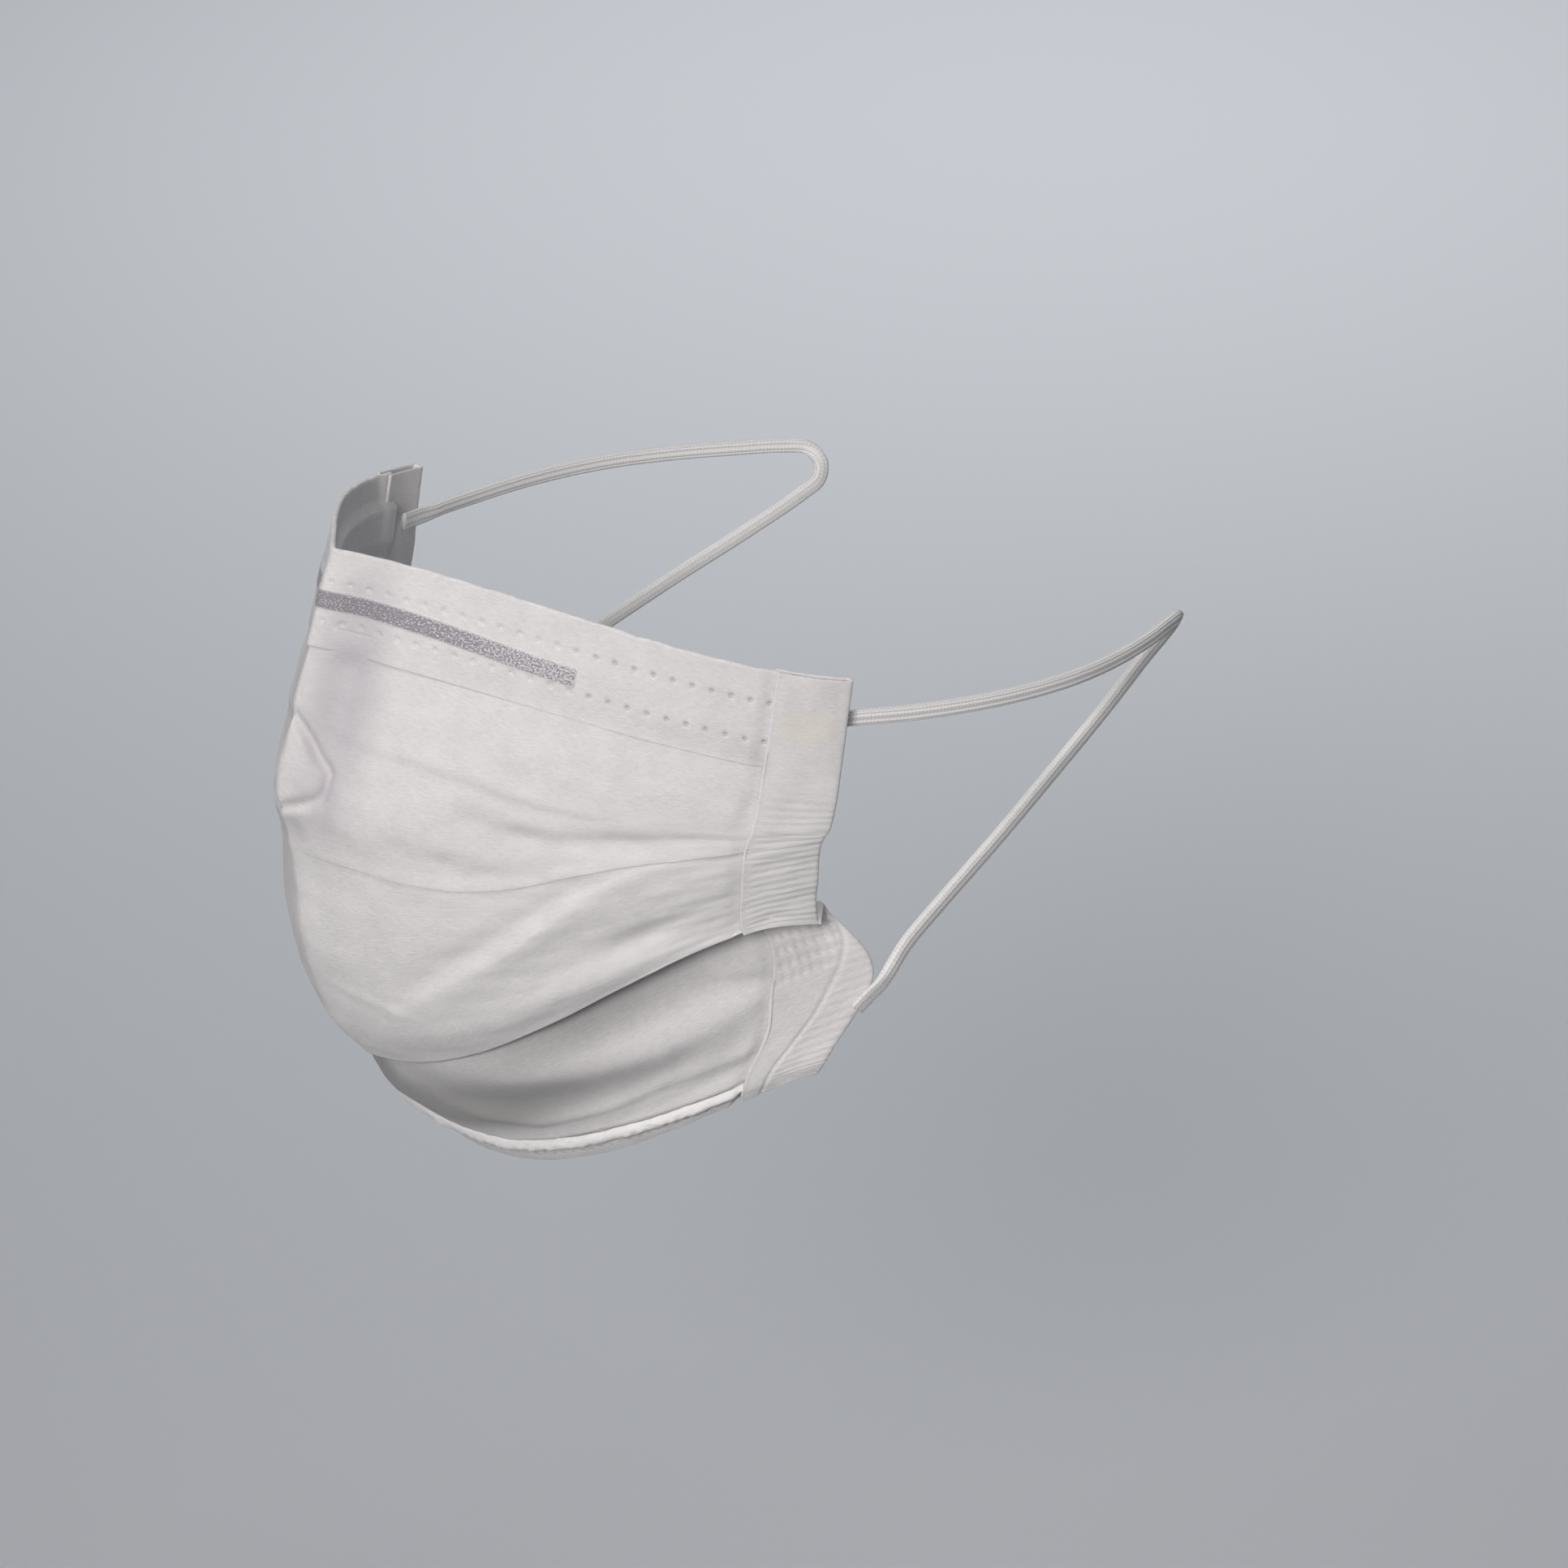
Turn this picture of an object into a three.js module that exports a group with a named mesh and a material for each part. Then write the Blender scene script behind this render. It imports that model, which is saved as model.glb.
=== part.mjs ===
// Pleated surgical face mask in its worn form, in millimetres.
// The wearer looks along -Y with +Z up, and +X is the wearer's left.
// The origin is where the middle of the top edge sits on the bridge of the nose.
//
// The cloth is one sheet. "Courses" are curves that run from the front ridge (x = 0) to the
// side edge, one for each fold or change of form, and the sheet is a smooth surface through
// them. A point of the sheet is named by across (-1 .. 1, the share of the way to a side
// edge) and down (cloth millimetres below the top edge).

import * as THREE from "three";

// Driving dimensions
const bindingWidth = 13; // side tape, seen from outside
const clothWall = 1.2; // body cloth, all plies
const tapeWall = 2.1; // side tape with the cloth inside it
const tapeProud = 0.3; // how far the tape stands out of the cloth
const hemWall = 1.0; // outer ply of the top and bottom hems
const fitGap = 0.3; // clearance between neighbouring pieces
const sideGap = 0.7; // clearance between the body and its side tapes
const topHemDepth = 17; // down to the first pleat edge
const bottomHemDepth = 6.5;
const wireWidth = 3;
const wireThickness = 0.6;
const wireHalfLength = 42.5;
const wireDown = 9; // middle of the wire below the top edge
const elasticDiameter = 2.4;
const elasticSides = 8;
const elasticSteps = 76;
const stepDrop = 0.8; // cloth length over which a pleat edge drops
const stepFade = 13; // cloth length over which the drop is made up again
const hemLip = 0.4; // the cloth dips under a hem from hemLip + hemSlope to hemLip off its edge
const hemSlope = 1.2;
const reach = 2; // size of the small faces that give the sheet's outward direction

// One row for each course. front: the point on the ridge; side: the point on the side edge.
// Each end has a handle: an angle from the X axis in plan, a reach and a rise.
// step is how far a pleat edge stands over the cloth below it.
const columns = [
  "down", "frontY", "frontZ", "frontTurn", "frontReach", "frontRise",
  "sideX", "sideY", "sideZ", "sideLean", "sideReach", "sideRise", "step",
];
const courseTable = {
  topEdge: [0, 0, 0, 36, 26, -2, 58, 56.5, -17.5, 72, 24, 4, 0],
  pleatOne: [17, -5.2, -14.8, 36, 26, -3, 58, 54, -33, 72, 24, 5, 1.0],
  pleatTwo: [30, -8.5, -26, 34, 26, -5, 58, 52.5, -40, 72, 24, 1, 0.3],
  noseTip: [42, -11.5, -38, 30, 26, -6, 57.5, 51.5, -42.2, 72, 24, 0, 0],
  pleatThree: [53, -9.3, -48.5, 25, 28, -6.5, 57, 51, -44, 72, 26, 0, 0.9],
  mouth: [71, -7.2, -66, 20, 28, -3, 56.5, 51, -49.5, 72, 24, 1, 0],
  chin: [85, -2.2, -79, 15, 30, 0, 56, 51, -54, 72, 24, 3, 0],
  flapEdge: [95, 4, -87, 12, 30, 1, 56, 51.5, -57.5, 74, 26, 7, 0],
  tuck: [100, 8.5, -87, 10, 30, 1, 51, 56, -57, 72, 26, 6, 0],
  underChin: [111, 10.5, -95.5, 6, 30, -3, 56, 62.5, -68.5, 70, 22, -3, 0],
  hemTop: [119, 15, -100.3, 4, 30, -3.6, 54, 55.5, -81, 60, 14, -2, 0],
  bottomEdge: [126, 20.2, -105.8, 2, 30, -3.8, 52.5, 54, -85, 55, 12, -1, 0],
};
const courseNames = Object.keys(courseTable);
const courses = courseNames.map((name) => {
  const row = {};
  columns.forEach((column, i) => { row[column] = courseTable[name][i]; });
  return row;
});
// The sheet is smooth inside each run of courses and creased where two runs meet.
const runs = [["topEdge", "flapEdge"], ["flapEdge", "tuck"], ["tuck", "bottomEdge"]]
  .map(([first, last]) => [courseNames.indexOf(first), courseNames.indexOf(last)]);

const radians = THREE.MathUtils.degToRad;

function courseCurve(row) {
  const turn = radians(row.frontTurn);
  const lean = radians(row.sideLean);
  const front = new THREE.Vector3(0, row.frontY, row.frontZ);
  const side = new THREE.Vector3(row.sideX, row.sideY, row.sideZ);
  const frontHandle = new THREE.Vector3(
    Math.cos(turn) * row.frontReach, Math.sin(turn) * row.frontReach, row.frontRise);
  const sideHandle = new THREE.Vector3(
    -Math.cos(lean) * row.sideReach, -Math.sin(lean) * row.sideReach, row.sideRise);
  return new THREE.CubicBezierCurve3(
    front, front.clone().add(frontHandle), side.clone().add(sideHandle), side);
}

const courseCurves = courses.map(courseCurve);
const halfWidth = courseCurves[courseNames.indexOf("pleatOne")].getLength();
const clothLength = courses[courses.length - 1].down;

function coursePoint(index, share) {
  return courseCurves[index].getPointAt(Math.min(Math.max(share, 0), 1));
}

// Slope of the sheet along down where it crosses a course, from the courses beside it.
function courseSlope(index, share, first, last) {
  const above = Math.max(index - 1, first);
  const below = Math.min(index + 1, last);
  const length = courses[below].down - courses[above].down;
  return coursePoint(below, share).sub(coursePoint(above, share)).divideScalar(length);
}

function sheetPoint(across, down) {
  const share = Math.abs(across);
  const [first, last] = runs.find((run) => down <= courses[run[1]].down + 1e-9);
  let i = first;
  while (i < last - 1 && down > courses[i + 1].down) i += 1;
  const length = courses[i + 1].down - courses[i].down;
  const s = (down - courses[i].down) / length;
  const point = new THREE.Vector3();
  point.addScaledVector(coursePoint(i, share), 1 - 3 * s * s + 2 * s * s * s);
  point.addScaledVector(coursePoint(i + 1, share), 3 * s * s - 2 * s * s * s);
  point.addScaledVector(courseSlope(i, share, first, last), (s - 2 * s * s + s * s * s) * length);
  point.addScaledVector(courseSlope(i + 1, share, first, last), (s * s * s - s * s) * length);
  if (across < 0) point.x = -point.x;
  return point;
}

// Drop of the outer face behind the pleat edges, and under the hems.
function pleatInset(down) {
  let inset = 0;
  for (const row of courses) {
    const past = down - row.down;
    if (row.step === 0 || past <= 0 || past >= stepFade + stepDrop) continue;
    const fade = 1 - Math.max(past - stepDrop, 0) / stepFade;
    inset += row.step * Math.min(past / stepDrop, 1) * fade * fade;
  }
  return inset;
}
const bottomHemStart = clothLength - bottomHemDepth;
const wireInset = hemWall + fitGap;
const underTopHem = wireInset + wireThickness + fitGap;
const underBottomHem = hemWall + fitGap;
const topDip = [topHemDepth + hemLip, topHemDepth + hemLip + hemSlope];
const bottomDip = [bottomHemStart - hemLip - hemSlope, bottomHemStart - hemLip];
function bodyInset(down) {
  const underTop = 1 - THREE.MathUtils.smoothstep(down, ...topDip);
  const underBottom = THREE.MathUtils.smoothstep(down, ...bottomDip);
  return Math.max(pleatInset(down), underTop * underTopHem, underBottom * underBottomHem);
}
function bodyInnerInset(down) {
  const pleats = 1.1;
  const ease = 4;
  const underTop = 1 - THREE.MathUtils.smoothstep(down, topDip[1], topDip[1] + ease);
  const underBottom = THREE.MathUtils.smoothstep(down, bottomDip[0] - ease, bottomDip[0]);
  const cover = Math.max(pleats, underTop * underTopHem, underBottom * underBottomHem);
  return clothWall + cover;
}

// Evenly spaced values from a to b.
function span(a, b, count) {
  return Array.from({ length: count + 1 }, (_, i) => a + ((b - a) * i) / count);
}

// Rows of the sheet's grid: the courses themselves, a row just past each pleat edge, the
// stops given, and rows about maxRow apart in between.
function downRows(from, to, maxRow, extraStops = []) {
  const stops = [from, to, ...extraStops];
  for (const row of courses) {
    if (row.down > from && row.down < to) stops.push(row.down);
    const past = row.down + stepDrop;
    if (row.step > 0 && past > from && past < to) stops.push(past);
  }
  stops.sort((a, b) => a - b);
  const rows = [stops[0]];
  for (let i = 1; i < stops.length; i += 1) {
    const count = Math.max(1, Math.round((stops[i] - stops[i - 1]) / maxRow));
    rows.push(...span(stops[i - 1], stops[i], count).slice(1));
  }
  return rows;
}

// Direction that points out of the sheet at a point, from the four small faces around it, so
// that neighbouring pieces agree on it. Where those faces differ, as along the ridge, the
// direction is lengthened so that a wall keeps its thickness.
function outDirection(across, down) {
  const shares = [across - reach / halfWidth, across, across + reach / halfWidth]
    .map((share) => THREE.MathUtils.clamp(share, -1, 1));
  const depths = [down - reach, down, down + reach]
    .map((depth) => THREE.MathUtils.clamp(depth, 0, clothLength));
  const around = [];
  for (let r = 0; r < 2; r += 1) {
    for (let c = 0; c < 2; c += 1) {
      if (shares[c] === shares[c + 1] || depths[r] === depths[r + 1]) continue;
      const d1 = sheetPoint(shares[c + 1], depths[r + 1]).sub(sheetPoint(shares[c], depths[r]));
      const d2 = sheetPoint(shares[c + 1], depths[r]).sub(sheetPoint(shares[c], depths[r + 1]));
      around.push(d1.cross(d2).normalize());
    }
  }
  const mean = around.reduce((sum, n) => sum.add(n), new THREE.Vector3()).normalize();
  const least = Math.min(...around.map((n) => n.dot(mean)));
  return mean.divideScalar(Math.max(least, 0.62));
}

// A closed wall over part of the sheet, between two insets below its surface.
function sheetWall(acrossList, downList, outerInset, innerInset) {
  const base = downList.map((down) => acrossList.map((across) => sheetPoint(across, down)));
  const out = downList.map((down) => acrossList.map((across) => outDirection(across, down)));
  const rows = downList.length;
  const cols = acrossList.length;
  const positions = [];
  for (const inset of [outerInset, innerInset]) {
    for (let r = 0; r < rows; r += 1) {
      for (let c = 0; c < cols; c += 1) {
        const p = base[r][c].clone().addScaledVector(out[r][c], -inset(downList[r], acrossList[c]));
        positions.push(p.x, p.y, p.z);
      }
    }
  }
  const outer = (r, c) => r * cols + c;
  const inner = (r, c) => rows * cols + outer(r, c);
  const index = [];
  const quad = (a, b, c, d) => index.push(a, b, c, a, c, d);
  for (let r = 0; r < rows - 1; r += 1) {
    for (let c = 0; c < cols - 1; c += 1) {
      quad(outer(r, c), outer(r + 1, c), outer(r + 1, c + 1), outer(r, c + 1));
      quad(inner(r, c), inner(r, c + 1), inner(r + 1, c + 1), inner(r + 1, c));
    }
  }
  for (let c = 0; c < cols - 1; c += 1) {
    quad(outer(0, c), outer(0, c + 1), inner(0, c + 1), inner(0, c));
    quad(outer(rows - 1, c + 1), outer(rows - 1, c), inner(rows - 1, c), inner(rows - 1, c + 1));
  }
  for (let r = 0; r < rows - 1; r += 1) {
    quad(outer(r + 1, 0), outer(r, 0), inner(r, 0), inner(r + 1, 0));
    quad(outer(r, cols - 1), outer(r + 1, cols - 1), inner(r + 1, cols - 1), inner(r, cols - 1));
  }
  const geometry = new THREE.BufferGeometry();
  geometry.setAttribute("position", new THREE.Float32BufferAttribute(positions, 3));
  geometry.setIndex(index);
  geometry.computeVertexNormals();
  return geometry;
}

const tapeStart = 1 - bindingWidth / halfWidth;
const bodyEnd = tapeStart - sideGap / halfWidth;

const halfColumns = 21;
const columnSpread = span(-bodyEnd, bodyEnd, 2 * halfColumns);

function bodyGeometry() {
  const rows = downRows(fitGap, clothLength - fitGap, 4.6, [...topDip, ...bottomDip]);
  return sheetWall(columnSpread, rows, bodyInset, bodyInnerInset);
}

function topHemGeometry() {
  const channel = wireWidth / 2 + fitGap;
  const edge = 0.4;
  const rows = [0, 3.5, wireDown - channel - edge, wireDown - channel,
    wireDown + channel, wireDown + channel + edge, 14, topHemDepth];
  const inner = (down) => (Math.abs(down - wireDown) < channel + edge / 2
    ? hemWall : underTopHem - fitGap);
  return sheetWall(columnSpread, rows, () => 0, inner);
}

function bottomHemGeometry() {
  return sheetWall(columnSpread, span(bottomHemStart, clothLength, 2), () => 0, () => hemWall);
}

function noseWireGeometry() {
  const end = wireHalfLength / halfWidth;
  const rows = [wireDown - wireWidth / 2, wireDown + wireWidth / 2];
  return sheetWall(span(-end, end, 28), rows, () => wireInset, () => wireInset + wireThickness);
}

function bindingGeometry(side) {
  const across = span(tapeStart, 1, 3).map((share) => side * share);
  if (side < 0) across.reverse();
  return sheetWall(across, downRows(0, clothLength, 5), () => -tapeProud, () => tapeWall);
}

// Route of the wearer's left elastic: from its weld on the inside of the tape, back round
// the side of the head, round behind the ear, and straight down to its weld on the outside
// of the lower tape.
const loopRoute = [
  [51.1, 48.9, -24.1],
  [52.2, 51.1, -24.4],
  [53.2, 53.3, -24.6],
  [54.2, 55.7, -24.8],
  [55.3, 59, -25],
  [57.2, 66, -25.6],
  [59.2, 76, -26.2],
  [60.1, 86, -26.7],
  [59.6, 97, -27.2],
  [57.2, 108, -27.7],
  [53.6, 118, -28.1],
  [50.4, 125, -28.3],
  [47.9, 129.4, -28.9],
  [45.6, 130.6, -30.9],
  [44.3, 129.3, -33.5],
  [44.7, 125.8, -35.6],
  [47.2, 115.5, -40.9],
  [50.3, 102.5, -47],
  [53.4, 88, -54],
  [55.8, 74.5, -60.6],
  [57.3, 66.5, -64.7],
  [58.1, 63, -67.4],
  [57.9, 61.2, -70],
  [57.2, 59.4, -72.2],
  [56.6, 57.7, -74.2],
];

function loopGeometry(side) {
  const route = loopRoute.map(([x, y, z]) => new THREE.Vector3(side * x, y, z));
  const path = new THREE.CatmullRomCurve3(route, false, "centripetal");
  const section = new THREE.Shape();
  for (let i = 0; i < elasticSides; i += 1) {
    const angle = (2 * Math.PI * (i + 0.5)) / elasticSides;
    const x = (Math.cos(angle) * elasticDiameter) / 2;
    const y = (Math.sin(angle) * elasticDiameter) / 2;
    if (i === 0) section.moveTo(x, y);
    else section.lineTo(x, y);
  }
  section.closePath();
  return new THREE.ExtrudeGeometry(section, {
    steps: elasticSteps, bevelEnabled: false, extrudePath: path,
  });
}

function cloth(color, roughness = 0.9) {
  return new THREE.MeshStandardMaterial({ color, roughness, metalness: 0 });
}

const mask = new THREE.Group();
function addPiece(name, geometry, material) {
  const mesh = new THREE.Mesh(geometry, material);
  mesh.name = name;
  mask.add(mesh);
}

addPiece("mask_body", bodyGeometry(), cloth(0xdedad8));
addPiece("top_hem", topHemGeometry(), cloth(0xe4e1df));
addPiece("bottom_hem", bottomHemGeometry(), cloth(0xe4e1df));
addPiece("nose_wire", noseWireGeometry(),
  new THREE.MeshStandardMaterial({ color: 0x9a9aa0, roughness: 0.5, metalness: 0.6 }));
for (const [name, side] of [["left", 1], ["right", -1]]) {
  addPiece(`side_binding_${name}`, bindingGeometry(side), cloth(0xd8d4d2));
  addPiece(`ear_loop_${name}`, loopGeometry(side), cloth(0xe8e6e4, 0.7));
}

export default mask;
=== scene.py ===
import math

import bpy
import numpy as np
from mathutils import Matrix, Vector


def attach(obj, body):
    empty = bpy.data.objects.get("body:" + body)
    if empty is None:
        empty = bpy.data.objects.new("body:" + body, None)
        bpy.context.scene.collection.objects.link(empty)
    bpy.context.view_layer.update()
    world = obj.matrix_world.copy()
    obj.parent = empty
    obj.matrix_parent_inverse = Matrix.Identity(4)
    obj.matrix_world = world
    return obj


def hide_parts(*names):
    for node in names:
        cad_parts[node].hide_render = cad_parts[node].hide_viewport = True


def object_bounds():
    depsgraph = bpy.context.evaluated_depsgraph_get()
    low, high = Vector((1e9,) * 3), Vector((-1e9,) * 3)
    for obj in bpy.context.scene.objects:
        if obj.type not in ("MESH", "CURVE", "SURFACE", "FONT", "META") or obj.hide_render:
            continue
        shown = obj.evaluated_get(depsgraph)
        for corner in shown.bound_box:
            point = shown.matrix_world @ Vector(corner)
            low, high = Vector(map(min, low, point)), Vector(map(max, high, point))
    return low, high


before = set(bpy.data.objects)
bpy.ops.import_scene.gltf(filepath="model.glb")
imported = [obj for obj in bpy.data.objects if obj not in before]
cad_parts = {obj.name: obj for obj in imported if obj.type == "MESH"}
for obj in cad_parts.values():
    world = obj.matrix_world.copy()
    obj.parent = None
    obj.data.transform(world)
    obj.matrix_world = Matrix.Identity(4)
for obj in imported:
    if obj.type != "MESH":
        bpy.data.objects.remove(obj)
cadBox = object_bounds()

# Looks of a pleated surgical face mask in its worn form. The wearer looks along -Y and +X is
# the wearer's left. Cloth sizes are in millimetres: u along the cloth from the front ridge, v
# down from the top edge. The loops, the camera and the lights are in metres.
mm = 0.001

cameraFacts = {
    "azimuth": 52.0,        # degrees round from straight in front, to the wearer's left
    "elevation": 24.0,      # degrees above the horizon
    "distance": 1.0,
    "aim": (0.0538, 0.0451, -0.0329),
    "viewWidth": 0.2385,    # what the picture spans at the aim point
    "sensor": 36.0,
}


def makeCamera(facts):
    azimuth = math.radians(facts["azimuth"])
    elevation = math.radians(facts["elevation"])
    back = np.array([
        math.cos(elevation) * math.sin(azimuth),
        -math.cos(elevation) * math.cos(azimuth),
        math.sin(elevation),
    ])
    data = bpy.data.cameras.new("camera")
    data.sensor_width = facts["sensor"]
    data.lens = facts["sensor"] * facts["distance"] / facts["viewWidth"]
    data.clip_start = 0.01
    camera = bpy.data.objects.new("camera", data)
    camera.location = np.array(facts["aim"]) + back * facts["distance"]
    camera.rotation_euler = (math.pi / 2 - elevation, 0, azimuth)
    bpy.context.scene.collection.objects.link(camera)
    bpy.context.scene.camera = camera


makeCamera(cameraFacts)
print("camera set")


def standFor(piece, node):
    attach(piece, "root")
    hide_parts(node)


def smoothStep(low, high, value):
    # 0 below low, 1 above high, 3t^2 - 2t^3 between them
    t = np.clip((value - low) / (high - low), 0, 1)
    return t * t * (3 - 2 * t)


def bell(distance, width):
    # exp(-(d / w)^2)
    return np.exp(-(distance / width) ** 2)


def softTable(x, knots, blur):
    # straight lines between the knots, averaged over a cosine window of width blur
    knots = np.array(knots, float)
    step = blur / 16
    fine = np.arange(knots[0, 0] - blur, knots[-1, 0] + blur, step)
    window = np.hanning(19)
    values = np.interp(fine, knots[:, 0], knots[:, 1])
    padded = np.pad(values, 9, mode="edge")
    return np.interp(x, fine, np.convolve(padded, window / window.sum(), mode="valid"))


def ripple(u, v, seed, sizeU, sizeV, waves=12):
    # sum of sine waves of seeded directions and phases, about -1 to 1
    dice = np.random.default_rng(seed)
    total = np.zeros(np.broadcast(u, v).shape)
    for _ in range(waves):
        turn = dice.uniform(0, 2 * math.pi)
        pace = dice.uniform(0.6, 1.5)
        along = u * math.cos(turn) / sizeU + v * math.sin(turn) / sizeV
        total += np.sin(2 * math.pi * pace * along + dice.uniform(0, 2 * math.pi))
    return total / math.sqrt(waves * 2)


def nearLine(u, v, points):
    # signed distance to a line through points, above it positive, and the share along it
    best = np.full(u.shape, 1e9)
    sign = np.ones(u.shape)
    share = np.zeros(u.shape)
    points = np.array(points, float)
    steps = np.hypot(*np.diff(points, axis=0).T)
    start = np.concatenate([[0], np.cumsum(steps)])
    for (au, av), (bu, bv), length, before in zip(points[:-1], points[1:], steps, start):
        t = ((u - au) * (bu - au) + (v - av) * (bv - av)) / length ** 2
        held = np.clip(t, 0, 1)
        du = u - au - held * (bu - au)
        dv = v - av - held * (bv - av)
        distance = np.hypot(du, dv)
        closer = distance < best
        best = np.where(closer, distance, best)
        side = (bu - au) * (v - av) - (bv - av) * (u - au)
        sign = np.where(closer, np.where(side < 0, 1, -1), sign)
        share = np.where(closer, (before + held * length) / start[-1], share)
    return best * sign, share


def gridMesh(name, points, uvs):
    # a grid of points (rows down, columns to the wearer's left, in mm) as a quad mesh
    rows, columns = points.shape[:2]
    index = np.arange(rows * columns).reshape(rows, columns)
    quads = np.stack([index[:-1, :-1], index[1:, :-1], index[1:, 1:], index[:-1, 1:]], -1)
    quads = quads.reshape(-1, 4)
    mesh = bpy.data.meshes.new(name)
    mesh.from_pydata(points.reshape(-1, 3) * mm, [], quads.tolist())
    layer = mesh.uv_layers.new(name="cloth")
    layer.data.foreach_set("uv", uvs.reshape(-1, 2)[quads.ravel()].ravel().astype(np.float32))
    mesh.shade_smooth()
    piece = bpy.data.objects.new(name, mesh)
    bpy.context.scene.collection.objects.link(piece)
    return piece


def thicken(piece, wallMm):
    wall = piece.modifiers.new("wall", "SOLIDIFY")
    wall.thickness = wallMm * mm
    wall.offset = -1
    return piece


# UV of every cloth piece: millimetres along the cloth, put into the 0 to 1 square.
uvSpan = 200.0
uvOffset = (100.0, 40.0)


def clothUv(u, v):
    u, v = np.broadcast_arrays(u, v)
    return np.stack([(u + uvOffset[0]) / uvSpan, (v + uvOffset[1]) / uvSpan], -1)


# A course is a curve from the front ridge to the side edge. down is cloth millimetres below
# the top edge. Each end of a course has a place and a handle: an angle, a reach and a rise.
# columns: down, frontY, frontZ, frontTurn, frontReach, frontRise,
#          sideX, sideY, sideZ, sideLean, sideReach, sideRise
courseTable = {
    "topEdge": [0, 0, 0, 36, 26, -2, 58, 56.5, -17.5, 72, 24, 4],
    "pleatOne": [17, -5.2, -14.8, 36, 26, -3, 58, 54, -33, 72, 24, 5],
    "pleatTwo": [30, -8.5, -26, 34, 26, -5, 58, 52.5, -40, 72, 24, 1],
    "noseTip": [42, -11.5, -38, 30, 26, -6, 57.5, 51.5, -42.2, 72, 24, 0],
    "pleatThree": [53, -9.3, -48.5, 25, 28, -6.5, 57, 51, -44, 72, 26, 0],
    "mouth": [71, -7.2, -66, 20, 28, -3, 56.5, 51, -49.5, 72, 24, 1],
    "chin": [85, -2.2, -79, 15, 30, 0, 56, 51, -54, 72, 24, 3],
    "flapEdge": [95, 4, -87, 12, 30, 1, 56, 51.5, -57.5, 74, 26, 7],
    "tuck": [100, 8.5, -87, 10, 30, 1, 51, 56, -57, 72, 26, 6],
    "underChin": [111, 10.5, -95.5, 6, 30, -3, 56, 62.5, -68.5, 70, 22, -3],
    "hemTop": [119, 15, -100.3, 4, 30, -3.6, 54, 55.5, -81, 60, 14, -2],
    "bottomEdge": [126, 20.2, -105.8, 2, 30, -3.8, 52.5, 54, -85, 55, 12, -1],
}
courseNames = list(courseTable)
downs = np.array([row[0] for row in courseTable.values()], float)
front, ledge, under = range(3)      # runs of courses between the two creases of the flap
runs = [
    [courseNames.index(name) for name in pair]
    for pair in (("topEdge", "flapEdge"), ("flapEdge", "tuck"), ("tuck", "bottomEdge"))
]
ridgeRoundMm = 0.9


def courseLine(row, steps=1500):
    # (1-t)^3 a + 3 (1-t)^2 t b + 3 (1-t) t^2 c + t^3 d, with the share of its length at each t
    (_, frontY, frontZ, frontTurn, frontReach, frontRise,
     sideX, sideY, sideZ, sideLean, sideReach, sideRise) = row
    turn = math.radians(frontTurn)
    lean = math.radians(sideLean)
    a = np.array([0, frontY, frontZ], float)
    d = np.array([sideX, sideY, sideZ], float)
    b = a + [math.cos(turn) * frontReach, math.sin(turn) * frontReach, frontRise]
    c = d + [-math.cos(lean) * sideReach, -math.sin(lean) * sideReach, sideRise]
    t = np.linspace(0, 1, steps)[:, None]
    points = (1 - t) ** 3 * a + 3 * (1 - t) ** 2 * t * b + 3 * (1 - t) * t ** 2 * c + t ** 3 * d
    length = np.concatenate([[0], np.cumsum(np.linalg.norm(np.diff(points, axis=0), axis=1))])
    return length / length[-1], points, length[-1]


courseLines = [courseLine(row) for row in courseTable.values()]
halfWidth = courseLines[courseNames.index("pleatOne")][2]


def sheetPoint(u, v, run):
    # Hermite curve down the cloth through the courses' points at u. Close to the ridge, depth
    # and height follow sqrt(u^2 + r^2) - r in place of |u|, which rounds the ridge.
    u, v = np.broadcast_arrays(np.asarray(u, float), np.asarray(v, float))
    first, last = runs[run]
    wide = np.abs(u) / halfWidth
    soft = (np.sqrt(u * u + ridgeRoundMm ** 2) - ridgeRoundMm) / halfWidth
    at = [
        np.stack([
            np.interp(wide, share, points[:, 0]),
            np.interp(soft, share, points[:, 1]),
            np.interp(soft, share, points[:, 2]),
        ], -1)
        for share, points, _ in courseLines[first:last + 1]
    ]
    down = downs[first:last + 1]
    count = last - first
    place = np.zeros(u.shape + (3,))
    for i in range(count):
        length = down[i + 1] - down[i]
        s = ((v - down[i]) / length)[..., None]
        above = max(i - 1, 0)
        below = min(i + 2, count)
        slopeHere = (at[i + 1] - at[above]) / (down[i + 1] - down[above])
        slopeNext = (at[below] - at[i]) / (down[below] - down[i])
        part = at[i] * (1 - 3 * s ** 2 + 2 * s ** 3) + at[i + 1] * (3 * s ** 2 - 2 * s ** 3)
        part = part + slopeHere * (s - 2 * s ** 2 + s ** 3) * length
        part = part + slopeNext * (s ** 3 - s ** 2) * length
        inside = np.ones(u.shape, bool)
        if i > 0:
            inside &= v >= down[i]
        if i < count - 1:
            inside &= v <= down[i + 1]
        place = np.where(inside[..., None], part, place)
    place[..., 0] *= np.where(u < 0, -1, 1)
    return place


def outward(u, v, run):
    # unit normal from points half a millimetre to each side
    reach = 0.5
    alongU = sheetPoint(u + reach, v, run) - sheetPoint(u - reach, v, run)
    alongV = sheetPoint(u, v + reach, run) - sheetPoint(u, v - reach, run)
    normal = np.cross(alongV, alongU)
    return normal / np.linalg.norm(normal, axis=-1, keepdims=True)


def clothPoint(u, v, inset, run):
    # sheet point moved in along the normal by inset
    return sheetPoint(u, v, run) - outward(u, v, run) * np.asarray(inset)[..., None]


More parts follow.
